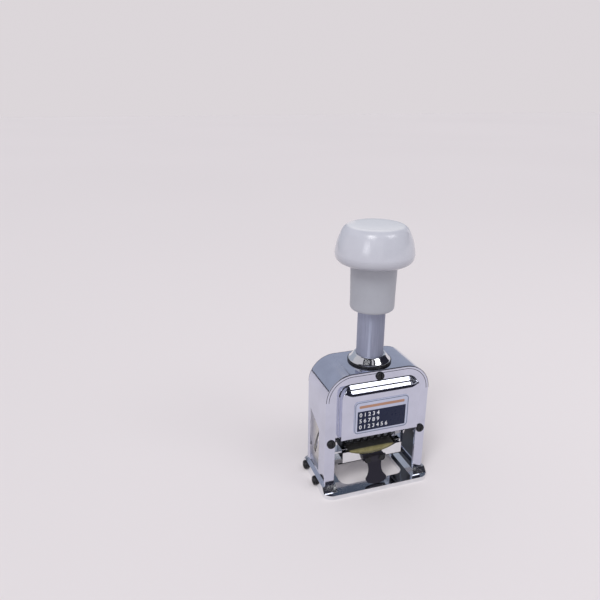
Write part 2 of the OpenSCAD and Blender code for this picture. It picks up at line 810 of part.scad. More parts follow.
module tab_outline() {
    half = tab_half();
    polygon(concat(half, [[0, tab_low]], [for (i = [len(half) - 1:-1:0]) [-half[i][0], half[i][1]]]));
}

module tab_side() {
    back_line = [[-tab_y, tab_high + cut], [-tab_y, tab_bend_z], [-tab_y - tab_lean, tab_low - cut]];
    polygon(concat(back_line, [for (i = [len(back_line) - 1:-1:0]) back_line[i] - [tab_t, 0]]));
}

module pad_tab() {
    color("#26242e") difference() {
        union() {
            intersection() {
                front_slab(-tab_y - tab_lean - tab_t - cut, -tab_y + cut) tab_outline();
                side_slab(-tray_half_w, tray_half_w) tab_side();
            }
            translate([-tongue_half_w, -tab_y, skirt_z + tongue_up])
                cube([2 * tongue_half_w, tab_y - tray_front, tab_high - skirt_z - 2 * tongue_up]);
        }
        pad_rivet_places() y_rod(rivet_r, -tab_y - tab_t - cut, -tray_front + cut);
    }
}

module pad_rivets() {
    color(steel) pad_rivet_places() {
        y_rod(rivet_r, -tab_y - tab_t, -tray_front + tray_t);
        y_rod(rivet_head_r, -tab_y - tab_t - pad_rivet_head_t, -tab_y - tab_t);
    }
}

module pad_arm() {
    pin = cam_point(0);
    difference() {
        union() {
            x_rod(arm_ring_r, arm_x, arm_x + arm_t, 0, axle_z);
            translate([arm_x, -3.6, tray_z]) cube([arm_t, 6.6, axle_z - tray_z]);
            x_rod(cam_pin_r + 1.3, arm_x, arm_x + arm_t, pin[0], pin[1]);
            translate([arm_x, 0, axle_z]) rotate([cam_start - 180 + 90, 0, 0])
                translate([0, -cam_reach, -cam_pin_r - 1]) cube([arm_t, cam_reach, 2 * cam_pin_r + 2]);
        }
        x_rod(axle_r + run_fit, arm_x - cut, arm_x + arm_t + cut, 0, axle_z);
        x_rod(cam_pin_r, arm_x - cut, arm_x + arm_t + cut, pin[0], pin[1]);
    }
}

module right_pad_arm() {
    color(chrome) pad_arm();
}

module left_pad_arm() {
    color(chrome) mirror([1, 0, 0]) pad_arm();
}

module cam_pins() {
    pin = cam_point(0);
    color(steel) both_sides() x_rod(cam_pin_r, arm_x, inner_x - pass_gap, pin[0], pin[1]);
}

// ---- pawls ----

module pawl_yoke() {
    color(steel) difference() {
        union() {
            both_sides() {
                x_rod(axle_r + 2.2, yoke_x, yoke_x + yoke_t, 0, axle_z);
                translate([yoke_x, 0, axle_z]) rotate([yoke_angle, 0, 0])
                    translate([0, 0, -1.8]) cube([yoke_t, comb_bar_r + comb_bar_t, 3.6]);
            }
            comb(yoke_x + yoke_t, yoke_angle, true);
        }
        both_sides() x_rod(axle_r + run_fit, yoke_x - cut, yoke_x + yoke_t + cut, 0, axle_z);
    }
}

module pawl_comb() {
    color(black) comb(yoke_x, yoke_angle, false);
}

// ---- number wheels ----

// Middle of wheel i, counted from the left
function wheel_x(i) = (i - (wheel_count - 1) / 2) * wheel_pitch;

module number_wheel(i) {
    type_h = 2.4 * wheel_r / 10;
    type_l = 4.4 * wheel_r / 10;
    color(black) translate([wheel_x(i) - wheel_w / 2, 0, axle_z]) difference() {
        union() {
            x_rod(hub_r, 0, wheel_w);
            // ratchet teeth beside the types
            translate([type_w, 0, 0]) rotate([90, 0, 90]) linear_extrude(wheel_w - type_w)
                for (k = [0:type_count - 1]) rotate(k * 360 / type_count)
                    polygon([[0, 0], [hub_r, 0], [ratchet_r, 0.4], [ratchet_r * cos(33), ratchet_r * sin(33) - 0.8]]);
            // one type faces the paper
            for (k = [0:type_count - 1]) rotate([k * 360 / type_count - 90, 0, 0])
                translate([0, hub_r - 0.5, -type_l / 2]) cube([type_w, type_h + 0.5 - 0.25, type_l]);
        }
        x_rod(axle_r + run_fit, -cut, wheel_w + cut);
    }
}

module number_wheel_1() { number_wheel(0); }
module number_wheel_2() { number_wheel(1); }
module number_wheel_3() { number_wheel(2); }
module number_wheel_4() { number_wheel(3); }
module number_wheel_5() { number_wheel(4); }
module number_wheel_6() { number_wheel(5); }
module number_wheel_7() { number_wheel(6); }

casing_shell();
front_plate();
label_plate();
plate_screws();
back_plate();
back_screws();
base_frame();
base_screws();
guide_collar();
collar_nut();
stop_pin();
spring_seat();
return_spring();
left_cam_plate();
right_cam_plate();
knob_cap();
knob_grip();
knob_stud();
stem_tube();
spring_plug();
stem_screws();
slider_bridge();
left_cheek();
right_cheek();
cheek_rivets();
wheel_axle();
axle_clips();
detent_comb();
repeat_selector();
pad_tray();
ink_felt();
pad_tab();
left_pad_arm();
right_pad_arm();
cam_pins();
pad_rivets();
pawl_yoke();
pawl_comb();
number_wheel_1();
number_wheel_2();
number_wheel_3();
number_wheel_4();
number_wheel_5();
number_wheel_6();
number_wheel_7();
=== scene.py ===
"""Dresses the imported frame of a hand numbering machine: sheet metal, plastics, felt, wheels and stage."""

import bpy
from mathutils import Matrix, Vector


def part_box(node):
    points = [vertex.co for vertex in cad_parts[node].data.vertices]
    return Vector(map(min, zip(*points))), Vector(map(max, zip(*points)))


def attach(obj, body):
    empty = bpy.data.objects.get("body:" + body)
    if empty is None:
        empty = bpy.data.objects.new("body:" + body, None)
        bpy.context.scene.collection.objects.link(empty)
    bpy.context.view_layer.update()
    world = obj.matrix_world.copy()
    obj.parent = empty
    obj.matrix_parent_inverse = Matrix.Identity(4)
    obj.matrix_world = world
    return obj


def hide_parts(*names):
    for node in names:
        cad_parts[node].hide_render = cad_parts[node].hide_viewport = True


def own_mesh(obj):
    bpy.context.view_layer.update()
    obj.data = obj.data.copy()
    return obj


bl_info = {
    "name": "Numbering machine",
    "version": (1, 0, 0),
    "blender": (4, 5, 0),
    "location": "3D View > Sidebar > Numbering machine",
    "description": "Builds the look of a hand numbering machine round its packed frame",
    "category": "Object",
}

import math

import bmesh
import bpy
from bpy.props import FloatProperty, FloatVectorProperty, IntProperty, PointerProperty
from bpy.types import Operator, Panel, PropertyGroup
from mathutils import Matrix, Vector

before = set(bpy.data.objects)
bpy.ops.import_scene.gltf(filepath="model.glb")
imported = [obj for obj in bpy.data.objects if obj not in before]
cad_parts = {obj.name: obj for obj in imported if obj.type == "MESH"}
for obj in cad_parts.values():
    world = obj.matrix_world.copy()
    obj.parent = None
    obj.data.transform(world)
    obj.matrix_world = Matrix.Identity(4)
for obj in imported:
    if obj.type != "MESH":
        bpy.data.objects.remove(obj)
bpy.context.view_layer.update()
MM = 0.001


def span(node):
    """Lowest and highest corner of a node, in millimetres."""
    low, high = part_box(node)
    return low / MM, high / MM


CAP_LOW, CAP_HIGH = span("knob_cap")
GRIP_LOW, GRIP_HIGH = span("knob_grip")
COLLAR_LOW, COLLAR_HIGH = span("guide_collar")
CASING_HIGH = span("casing_shell")[1]
PLATE_LOW = span("front_plate")[0]
LABEL_LOW, LABEL_HIGH = span("label_plate")
FELT_LOW, FELT_HIGH = span("ink_felt")
AXLE_LOW, AXLE_HIGH = span("wheel_axle")
SPRING_LOW, SPRING_HIGH = span("return_spring")
WHEELS = sorted(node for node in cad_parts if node.startswith("number_wheel_"))

# Sizes of the machine that the boxes of its nodes don't give, in millimetres.
SHEET = 1.6  # the casing's sheet
ARCH_R = 14.3  # shoulders of the arch
ROOF_Z = 68.5  # top of the roof, on which the collar stands
FACE_Y, INNER_Y = 13.25, 11.65  # outer and inner side of the casing's walls
LEG_X, LEG_LOW = 23.4, 5.0  # inner side and foot of a leg
WINDOW_X, WINDOW_TOP, WINDOW_R = 22.1, 62.9, 6.0  # opening behind a raised plate
PLATE_X, PLATE_BOTTOM, PLATE_TOP, PLATE_R = 21.8, 33.3, 62.6, 5.7  # outline of a raised plate
PLATE_FRONT = 17.25  # how far in front of the middle a raised plate's face lies
PLATE_DROP, PLATE_SLOPE = 3.9, 5.6  # how far back and how wide the plate's sloped top goes
PLATE_TURN = 0.3  # share of the corner's arc at which the slope sets in
# Lines round the plate, drawn in from its outline and closer together where it bends.
PAN_INSETS = (0, 0.08, 0.2, 0.35, 0.5, 0.7, 1.0, 1.4, 1.8, 2.2, 2.6, 3.0, 3.3, 3.6, 3.9, 4.2, 4.5, 4.8, 5.1,
              5.35, PLATE_SLOPE)
FLANGE_T, FLANGE_GAP = 1.2, 0.3  # the plate's flange, and its room inside the casing
RIB_X, RIB_INSET, RIB_R, RIB_PROUD = 18.2, 1.9, 0.40, 0.06  # fine rib on the sloped top
SEAM_X, SEAM_TOP, SEAM_R = 21.95, 62.75, 5.85  # middle of the gap round a raised plate
SIDE_OPENING = ((-4.05, 8.5), (9.05, 8.5), (9.05, 40), (-4.05, 34))  # y, z
BORE_R, SLEEVE_R, HOLE_R = 7.1, 9.0, 9.05  # the collar's bore and sleeve, and its hole in the roof
LIP_LOW, LIP_HIGH = 17.2, 20.4  # the tray's bowed lip, in its middle and at its ends
TRAY_SKIRT_Z, TRAY_SHADOW_R = 14.0, 0.38  # lower edge of the tray's front, and the black rod along it, a painted shadow line under the tray
TRAY_EDGE, TAB_EDGE, WHEEL_EDGE = 0.22, 0.28, 0.1  # width of rounded edges
SIDE_SCREW_X, SIDE_SCREW_Z, TOP_SCREW_Z = 25.7, 29.998, 65.3  # a plate's screws
BASE_SIDE_X, BASE_SCREW_Y, BASE_SCREW_Z = 30.3, (-3.9, 11.05), 2.6  # the base's side and its screws
# Radius and height of a screw's head, and length of its shank.
PLATE_SCREW, BASE_SCREW = (2.3, 1.3, 2.6), (2.5, 1.9, 5.5)
SHANK_R, SHANK_SINK = 1.2, 0.02  # radius, and how far under the head it starts
CAP_SEAM_RISE, CAP_SEAM_R, CAP_SEAM_SHARE = 4.6, 0.12, 0.9965  # moulding seam round the cap's rim
AXLE_Z = (AXLE_LOW.z + AXLE_HIGH.z) / 2
TYPE_X, TYPE_R = 1.35, 9.75  # middle of a wheel's type from its left side, and radius of the type's faces
DIGIT_SINK = 0.05  # how far a digit reaches into its type block
DIGIT_SIZE, DIGIT_WIDTH = 1.36, 0.84  # font size of a digit 1 high, and its width against the font's


# ---- sizes and colours that a user may change ----


def length(name, about, value):
    return FloatProperty(name=name, description=about, default=value * MM, min=0, unit="LENGTH", precision=5)


def tint(name, about, value):
    return FloatVectorProperty(name=name, description=about, default=value, size=3, min=0, max=1,
                               subtype="COLOR")


class MachineSizes(PropertyGroup):
    sheet_edge: length("Sheet edge", "Width of the rounded edges of the casing's sheet", 0.3)
    base_edge: length("Base edge", "Width of the rounded edges of the base", 1.2)
    arch_fold: length("Arch fold", "Width of the fold between the casing's faces and its roof", 0.6)
    fold_strip: length("Fold strip", "How far the fine line on the arch's face lies inside its outline", 1.5)
    # painted dark reflections: the fine dark lines along the arch's fold are dark rods
    fold_line: length("Fold line", "Radius of the fine dark lines along both sides of the arch's fold", 0.15)
    plate_fold: length("Plate fold", "Width of the fold under the sloped top of a raised plate", 2.6)
    plate_edge: length("Plate edge", "Width of the rounded edges of the raised plates", 0.7)
    part_edge: length("Part edge", "Width of the rounded edges of small inner parts", 0.14)
    # painted shade: the dark seam is a dark rod standing for the shade in the gap round a raised plate
    seam: length("Seam", "Radius of the dark seam where a raised plate meets the casing", 0.13)
    screw_slot: length("Screw slot", "Width of the slot in a screw's head", 0.75)
    label_border: length("Label border", "Width of the line round the label", 0.45)
    digit_height: length("Digit height", "Height of the digits on the wheels", 3.7)
    digit_relief: length("Digit relief", "How far a digit stands out of its type block", 0.25)
    felt_crown: length("Felt crown", "How far the felt bulges over the tray's front lip", 0.8)
    spring_turns: IntProperty(name="Spring turns", description="Turns of the return spring", default=12,
                              min=4, max=24)


class MachineColours(PropertyGroup):
    chrome: tint("Chrome", "Colour of the plated casing and raised plates", (0.66, 0.68, 0.80))
    bright_chrome: tint("Bright chrome", "Colour of the polished base, collar, tray and arms",
                        (0.86, 0.87, 0.90))
    steel: tint("Steel", "Colour of ground inner parts", (0.42, 0.44, 0.49))
    # painted shade: this dark colour paints the right cam plate as shade inside the casing, and the dark
    # lines that paint shade and dark reflections along the arch's fold, the plates' ribs and their seams
    dark_steel: tint("Dark steel", "Colour of the right cam plate and of the dark lines, painted shade and dark reflections", (0.10, 0.105, 0.12))
    nickel: tint("Nickel", "Colour of the pale cam plate", (0.74, 0.72, 0.69))
    stem: tint("Stem", "Colour of the turned stem", (0.39, 0.415, 0.525))
    # also paints the dark reflection on the collar's flange and the shadow line under the tray
    black: tint("Blackened steel", "Colour of screws and wheels", (0.010, 0.010, 0.013))
    cap: tint("Knob cap", "Colour of the glossy cap", (0.535, 0.55, 0.615))
    grip: tint("Knob grip", "Colour of the satin grip", (0.375, 0.39, 0.435))
    felt: tint("Felt", "Colour of the inked felt", (0.25, 0.22, 0.062))
    tab: tint("Pull tab", "Colour of the dark moulded tab", (0.013, 0.012, 0.022))
    label_ground: tint("Label ground", "Colour of the label's plain ground", (0.47, 0.50, 0.64))
    label_line: tint("Label line", "Colour of the line round the label", (0.16, 0.19, 0.27))
    label_field: tint("Label field", "Colour of the label's dark field", (0.012, 0.017, 0.045))
    label_strip: tint("Label strip", "Colour of the plain strip along the label's top", (0.40, 0.21, 0.13))
    digits: tint("Label digits", "Colour of the digits on the label", (0.75, 0.77, 0.82))
    floor: tint("Floor", "Colour of the floor", (0.78, 0.745, 0.755))


def sizes():
    return bpy.context.scene.machine_sizes


def colours():
    return bpy.context.scene.machine_colours


# ---- materials ----


class Finish:
    """A material being made: one Principled shader whose colour, roughness and bump come from patterns."""

    def __init__(self, name, colour, metallic=0.0, roughness=0.5, **sockets):
        self.material = bpy.data.materials.new(name)
        self.material.use_nodes = True
        self.tree = self.material.node_tree
        self.shader = self.tree.nodes["Principled BSDF"]
        self.colour = tuple(colour)[:3]
        self.shader.inputs["Base Color"].default_value = (*self.colour, 1)
        self.shader.inputs["Metallic"].default_value = metallic
        self.shader.inputs["Roughness"].default_value = roughness
        for socket, value in sockets.items():
            self.shader.inputs[socket.replace("_", " ")].default_value = value
        self.place = self.tree.nodes.new("ShaderNodeTexCoord").outputs["Object"]
        self.normal = None

    def node(self, kind, **settings):
        made = self.tree.nodes.new(kind)
        for key, value in settings.items():
            setattr(made, key, value)
        return made

    def join(self, start, end):
        self.tree.links.new(start, end)

    def noise(self, size_mm, detail=3.0, stretch=(1, 1, 1), roughness=0.55):
        """Noise whose features are about size_mm across; stretch makes them longer along an axis."""
        mapping = self.node("ShaderNodeMapping")
        mapping.inputs["Scale"].default_value = tuple(1 / s for s in stretch)
        self.join(self.place, mapping.inputs["Vector"])
        noise = self.node("ShaderNodeTexNoise")
        noise.inputs["Scale"].default_value = 1 / (size_mm * MM)
        noise.inputs["Detail"].default_value = detail
        noise.inputs["Roughness"].default_value = roughness
        self.join(mapping.outputs["Vector"], noise.inputs["Vector"])
        return noise.outputs["Fac"]

    def spread(self, value, low, high, start=0.3, end=0.7):
        """Maps a pattern's start..end to low..high."""
        remap = self.node("ShaderNodeMapRange")
        for socket, number in (("From Min", start), ("From Max", end), ("To Min", low), ("To Max", high)):
            remap.inputs[socket].default_value = number
        self.join(value, remap.inputs["Value"])
        return remap.outputs["Result"]

    def along(self, axis, low, high):
        """How far a point lies from low to high along an axis, both in millimetres, as 0 to 1."""
        apart = self.node("ShaderNodeSeparateXYZ")
        self.join(self.place, apart.inputs["Vector"])
        return self.spread(apart.outputs[axis], 0, 1, low * MM, high * MM)

    def vary_colour(self, pattern, shade, share=1.0, start=0.3, end=0.7):
        """Mixes the colour towards shade where the pattern is high."""
        mix = self.node("ShaderNodeMix", data_type="RGBA")
        base = self.shader.inputs["Base Color"]
        if base.is_linked:
            self.join(base.links[0].from_socket, mix.inputs["A"])
        else:
            mix.inputs["A"].default_value = (*self.colour, 1)
        mix.inputs["B"].default_value = (*shade, 1)
        self.join(self.spread(pattern, 0, share, start, end), mix.inputs["Factor"])
        self.join(mix.outputs["Result"], base)

    def vary_roughness(self, pattern, low, high, start=0.3, end=0.7):
        self.join(self.spread(pattern, low, high, start, end), self.shader.inputs["Roughness"])

    def bump(self, pattern, height_mm, strength=1.0):
        bump = self.node("ShaderNodeBump")
        bump.inputs["Distance"].default_value = height_mm * MM
        bump.inputs["Strength"].default_value = strength
        self.join(pattern, bump.inputs["Height"])
        if self.normal:
            self.join(self.normal, bump.inputs["Normal"])
        self.normal = bump.outputs["Normal"]
        self.join(self.normal, self.shader.inputs["Normal"])

    def worn_edges(self, width_mm, shade, share=0.7):
        """Lightens convex edges: on blackened steel the bare metal where it has rubbed, on plating a painted
        highlight.
        """
        bevel = self.node("ShaderNodeBevel", samples=4)
        bevel.inputs["Radius"].default_value = width_mm * MM
        facing = self.node("ShaderNodeVectorMath", operation="DOT_PRODUCT")
        self.join(bevel.outputs["Normal"], facing.inputs[0])
        self.join(self.node("ShaderNodeNewGeometry").outputs["Normal"], facing.inputs[1])
        self.vary_colour(self.spread(facing.outputs["Value"], 1, 0, 0.80, 0.985), shade, share, 0, 1)


def darker(colour, share):
    return tuple(channel * share for channel in colour)


def lighter(colour, share):
    return tuple(channel + (1 - channel) * share for channel in colour)


def chrome(name, colour, low, high, edges=True):
    """Plating with faint clouds, from low to high in roughness, lighter along its edges as a painted
    highlight when edges is true.
    """
    finish = Finish(name, colour, metallic=1.0)
    finish.vary_colour(finish.noise(9, 4), darker(finish.colour, 0.90))
    finish.vary_roughness(finish.noise(2.2, 5), low, high)
    finish.bump(finish.noise(0.8, 2), 0.004, 0.5)
    # painted highlight: the plating's convex edges are painted lighter
    if edges:
        finish.worn_edges(0.35, lighter(finish.colour, 0.5), 0.5)
    return finish.material


def ground_steel(name, colour, low=0.26, high=0.42, grain=(6, 1, 1)):
    """Steel with grinding streaks along one axis."""
    finish = Finish(name, colour, metallic=1.0)
    streaks = finish.noise(0.22, 4, grain)
    finish.vary_colour(streaks, darker(finish.colour, 0.72))
    finish.vary_roughness(finish.noise(0.4, 4, grain), low, high)
    finish.bump(streaks, 0.006, 0.7)
    return finish.material


def blackened(name, colour, low=0.24, high=0.42, metallic=0.7):
    """Blackened steel, a little bare along its edges."""
    finish = Finish(name, colour, metallic=metallic)
    finish.vary_colour(finish.noise(0.7, 5), lighter(finish.colour, 0.03))
    finish.vary_roughness(finish.noise(0.5, 4), low, high)
    finish.bump(finish.noise(0.25, 3), 0.006, 0.5)
    finish.worn_edges(0.18, lighter(finish.colour, 0.16), 0.5)
    return finish.material


def turned_stem(name, colour):
    """Satin tube with fine streaks along it."""
    finish = Finish(name, colour, metallic=1.0)
    streaks = finish.noise(0.7, 4, (1, 1, 40))
    finish.vary_colour(streaks, darker(finish.colour, 0.84))
    finish.vary_colour(finish.noise(0.16, 3, (1, 1, 60)), lighter(finish.colour, 0.08), 0.5)
    finish.vary_roughness(finish.noise(0.3, 4, (1, 1, 30)), 0.64, 0.76)
    finish.bump(streaks, 0.0015, 0.4)
    return finish.material


def moulded(name, colour, low, high, grain_mm, height_mm, coat=0.0, gloss=0.5):
    """Moulded plastic with a grain; returns the finish, so that more can be laid over it."""
    finish = Finish(name, colour, Coat_Weight=coat, Coat_Roughness=0.12, Specular_IOR_Level=gloss)
    finish.vary_colour(finish.noise(14, 3), darker(finish.colour, 0.93))
    finish.vary_colour(finish.noise(0.35, 3), lighter(finish.colour, 0.12 * max(finish.colour)), 0.4)
    finish.vary_roughness(finish.noise(3.0, 5), low, high)
    finish.bump(finish.noise(grain_mm, 3), height_mm, 0.6)
    return finish


def cap_plastic(name, colour):
    """Glossy moulding, darkened round its low rim as painted shade and lightened on its crown as painted
    light.
    """
    finish = moulded(name, colour, 0.18, 0.26, 0.5, 0.003, 0.4)
    # painted shade: the low rim, which faces down, is painted darker
    rim = finish.along("Z", CAP_LOW.z, CAP_LOW.z + 5.5)
    finish.vary_colour(rim, darker(finish.colour, 0.70), 1, 1, 0)
    # painted light: the crown, which faces up, is painted lighter
    crown = finish.along("Z", CAP_HIGH.z - 1.4, CAP_HIGH.z - 0.8)
    finish.vary_colour(crown, lighter(finish.colour, 0.42), 1, 0, 1)
    return finish.material


def inked_felt(name, colour):
    """Olive felt with long fibres and soaked patches, black where the types have pressed ink into its top."""
    finish = Finish(name, colour, roughness=0.95, Sheen_Weight=0.35, Sheen_Roughness=0.5)
    finish.vary_colour(finish.noise(0.20, 6, (3, 1, 1)), lighter(finish.colour, 0.16), 0.8)
    finish.vary_colour(finish.noise(3.2, 4), darker(finish.colour, 0.55), 0.8, 0.42, 0.75)
    finish.vary_colour(finish.noise(0.09, 2, (1, 4, 1)), darker(finish.colour, 0.40), 0.6, 0.52, 0.75)
    finish.bump(finish.noise(0.16, 5, (3, 1, 1)), 0.12, 0.9)
    finish.bump(finish.noise(0.7, 3), 0.10, 0.6)
    inked = finish.along("Y", FELT_LOW.y + 0.3, FELT_LOW.y + 0.8)
    finish.vary_colour(inked, (0.010, 0.010, 0.012), 0.95, 0, 1)
    return finish.material


def printed(name, colour, roughness=0.34, coat=0.35):
    """Ink screened on a thin plate."""
    finish = Finish(name, colour, Coat_Weight=coat, Coat_Roughness=0.16, Specular_IOR_Level=0.2 + coat * 0.8)
    finish.vary_colour(finish.noise(0.30, 4), lighter(finish.colour, 0.05 * max(finish.colour)), 0.6)
    finish.vary_colour(finish.noise(5.0, 3), darker(finish.colour, 0.90), 0.8)
    finish.vary_roughness(finish.noise(1.0, 4), roughness * 0.8, roughness * 1.3)
    finish.bump(finish.noise(0.3, 2), 0.003, 0.5)
    return finish.material


PALETTE = {}


def mix_palette():
    """One material for each finish that the machine has."""
    c = colours()
    PALETTE.update(
        chrome=chrome("plated_sheet", c.chrome, 0.07, 0.13),
        bright=chrome("polished_chrome", c.bright_chrome, 0.04, 0.10, False),
        steel=ground_steel("ground_steel", c.steel),
        # painted shade: the dark finish of the right cam plate and of the painted dark lines
        dark_steel=ground_steel("oiled_steel", c.dark_steel, 0.30, 0.46, (1, 1, 6)),
        nickel=ground_steel("nickel_sheet", c.nickel, 0.30, 0.44, (1, 6, 1)),
        stem=turned_stem("turned_stem", c.stem),
        # real blackened steel, and also the painted dark reflection and painted shadow line
        black=blackened("blackened_screw", c.black),
        wheel=blackened("wheel_steel", c.black, 0.26, 0.48, 0.8),
        type=ground_steel("worn_type", darker(c.steel, 0.35), 0.30, 0.45, (1, 3, 1)),
        cap=cap_plastic("cap_plastic", c.cap),
        grip=moulded("grip_plastic", c.grip, 0.42, 0.56, 0.22, 0.012).material,
        tab=moulded("tab_plastic", c.tab, 0.28, 0.42, 0.3, 0.006, 0.0, 0.3).material,
        felt=inked_felt("inked_felt", c.felt),
        label_ground=printed("label_ground", c.label_ground),
        label_line=printed("label_line", c.label_line),
        label_field=printed("label_field", c.label_field, 0.30, 0.0),
        label_strip=printed("label_strip", c.label_strip),
        label_digits=printed("label_digits", c.digits),
    )


# ---- mesh helpers ----


def link(data, name):
    """Puts a new object with this mesh or curve into the scene."""
    data.name = name
    made = bpy.data.objects.new(name, data)
    bpy.context.scene.collection.objects.link(made)
    return made


def solid(bm, name):
    """An object with the shape drawn in bm."""
    mesh = bpy.data.meshes.new(name)
    bm.to_mesh(mesh)
    bm.free()
    return link(mesh, name)


def metres(point):
    """A point that is given in millimetres."""
    return tuple(value * MM for value in point)


def bake(obj):
    """Turns the object with its modifiers into a plain mesh object of the same name."""
    bpy.context.view_layer.update()
    graph = bpy.context.evaluated_depsgraph_get()
    mesh = bpy.data.meshes.new_from_object(obj.evaluated_get(graph), depsgraph=graph)
    place, name = obj.matrix_world.copy(), obj.name
    bpy.data.objects.remove(obj)
    mesh.transform(place)
    return link(mesh, name)


def shade(obj, angle=33.0):
    """Smooth shading, but sharp where faces meet at more than the angle."""
    obj.data.shade_smooth()
    obj.data.set_sharp_from_angle(angle=math.radians(angle))
    return obj


def weigh_normals(obj):
    """Lets the flat faces keep their own normals, so that only the rounded edges bend a reflection."""
    weighted = obj.modifiers.new("Weighted normals", "WEIGHTED_NORMAL")
    weighted.keep_sharp = True
    weighted.weight = 90
    return obj


def round_edges(obj, width, segments=3, angle=30.0):
    """Bevels the edges that are sharper than the angle; the width is in metres."""
    bevel = obj.modifiers.new("Round edges", "BEVEL")
    bevel.limit_method = "ANGLE"
    bevel.angle_limit = math.radians(angle)
    bevel.width = width
    bevel.segments = segments
    bevel.use_clamp_overlap = True
    bevel.miter_outer = "MITER_ARC"
    bevel.harden_normals = False
    return obj


def paint(obj, *finishes):
    """Gives the object these finishes of the palette, in this order."""
    obj.data.materials.clear()
    for finish in finishes:
        obj.data.materials.append(PALETTE[finish])
    return obj


def settle(obj, body, slot, *nodes):
    """Rides the piece on its body and hides the nodes that it stands for."""
    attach(obj, body)
    if nodes:
        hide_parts(*nodes)
    return obj


def outline_of(node):
    """A clean copy of a node's mesh: its loose triangles joined, with flat faces whole again."""
    bm = bmesh.new()
    bm.from_mesh(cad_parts[node].data)
    bmesh.ops.remove_doubles(bm, verts=bm.verts, dist=0.002 * MM)
    bmesh.ops.dissolve_limit(bm, angle_limit=math.radians(0.4), verts=bm.verts, edges=bm.edges,
                             use_dissolve_boundaries=False)
    return bm


def dressed(node, body, finish, slot, edge, segments=3, angle=30.0):
    """A piece with the node's shape and rounded edges."""
    obj = shade(solid(outline_of(node), node + "_dressed"), angle)
    if edge:
        weigh_normals(round_edges(obj, edge, segments, angle))
    return settle(paint(bake(obj), finish), body, slot, node)


def circle(radius, height, steps):
    """Points round Z, in millimetres."""
    turn = (2 * math.pi * k / steps for k in range(steps))
    return [(radius * math.cos(a), radius * math.sin(a), height) for a in turn]


def lathe(name, profile, steps=160, closed=False):
    """Turns a profile of (radius, height) in millimetres round Z. A closed profile makes a tube."""
    bm = bmesh.new()
    rings = []
    for radius, height in profile:
        points = circle(radius, height, steps) if radius > 1e-6 else [(0, 0, height)]
        rings.append([bm.verts.new(metres(point)) for point in points])
    pairs = list(zip(rings, rings[1:])) + ([(rings[-1], rings[0])] if closed else [])
    for low, high in pairs:
        for k in range(steps):
            n = (k + 1) % steps
            corners = [low[k % len(low)], low[n % len(low)], high[n % len(high)], high[k % len(high)]]
            unique = list(dict.fromkeys(corners))
            if len(unique) > 2:
                bm.faces.new(unique)
    bmesh.ops.recalc_face_normals(bm, faces=bm.faces)
    return shade(solid(bm, name))


def smooth_line(points, per=6):
    """A Catmull-Rom curve through points of (radius, height)."""
    ends = [points[0], *points, points[-1]]
    line = []
    for stretch in zip(ends, ends[1:], ends[2:], ends[3:]):
        for k in range(per):
            t = k / per
            line.append([0.5 * (2 * q + (r - p) * t + (2 * p - 5 * q + 4 * r - s) * t * t
                                + (3 * q - p - 3 * r + s) * t ** 3) for p, q, r, s in zip(*stretch)])
    line.append(points[-1])
    return [(max(0.0, radius), height) for radius, height in line]


def rounded(w, h, r, steps=10, mid=0):
    """Points of a rectangle with round corners, its middle mid above the origin, in millimetres."""
    points = []
    for x, y, start in ((1, 1, 0), (-1, 1, 90), (-1, -1, 180), (1, -1, 270)):
        for k in range(steps + 1):
            a = math.radians(start + 90 * k / steps)
            points.append((x * (w / 2 - r) + r * math.cos(a), mid + y * (h / 2 - r) + r * math.sin(a)))
    return points


# A drawing's x and y become the machine's x and z.
FRONT = Matrix(((1, 0, 0, 0), (0, 0, -1, 0), (0, 1, 0, 0), (0, 0, 0, 1)))


def sheet_of(name, loops, thick, edge, at):
    """A flat plate with round edges, cut to loops in the front view, its middle at y = at, in millimetres."""
    curve = bpy.data.curves.new(name, "CURVE")
    curve.dimensions = "2D"
    curve.fill_mode = "BOTH"
    curve.extrude = (thick / 2 - edge) * MM
    curve.bevel_depth = edge * MM
    curve.bevel_resolution = 2
    curve.offset = -edge * MM
    for loop in loops:
        spline = curve.splines.new("POLY")
        spline.points.add(len(loop) - 1)
        for point, (x, y) in zip(spline.points, loop):
            point.co = (x * MM, y * MM, 0, 1)
        spline.use_cyclic_u = True
    obj = bake(link(curve, name))
    obj.data.transform(Matrix.Translation((0, at * MM, 0)) @ FRONT)
    return shade(tidy(obj))


def tidy(obj):
    """Merges an object's doubles and turns its faces outwards."""
    bm = bmesh.new()
    bm.from_mesh(obj.data)
    bmesh.ops.remove_doubles(bm, verts=bm.verts, dist=0.001 * MM)
    bmesh.ops.recalc_face_normals(bm, faces=bm.faces)
    bm.to_mesh(obj.data)
    bm.free()
    return obj


def figures(name, text, size, thick, spread, resolution, align="LEFT"):
    """Plain digits as a thin solid that lies on its back at the origin, in millimetres."""
    curve = bpy.data.curves.new(name, "FONT")
    curve.body = text
    curve.size = size * MM
    curve.align_x = align
    if align == "CENTER":
        curve.align_y = align
    curve.offset = spread * MM
    curve.extrude = thick / 2 * MM
    curve.resolution_u = resolution
    return bake(link(curve, name))


def join(name, objs):
    """Joins objects into one mesh, each with its own materials kept."""
    materials, bm = [], bmesh.new()
    for obj in objs:
        first = len(bm.faces)
        slots = []
        for material in obj.data.materials:
            if material not in materials:
                materials.append(material)
            slots.append(materials.index(material))
        bm.from_mesh(obj.data)
        bm.faces.ensure_lookup_table()
        for face in bm.faces[first:]:
            face.material_index = slots[min(face.material_index, len(slots) - 1)] if slots else 0
    for obj in objs:
        bpy.data.objects.remove(obj)
    made = solid(bm, name)
    for material in materials:
        made.data.materials.append(material)
    return shade(made)


def carve(obj, *cutters):
    """Takes the cutters away from an object."""
    for cutter in cutters:
        cut = obj.modifiers.new("Cut", "BOOLEAN")
        cut.object = cutter
        cut.solver = "EXACT"
    obj = bake(obj)
    for cutter in cutters:
        bpy.data.objects.remove(cutter)
    return obj


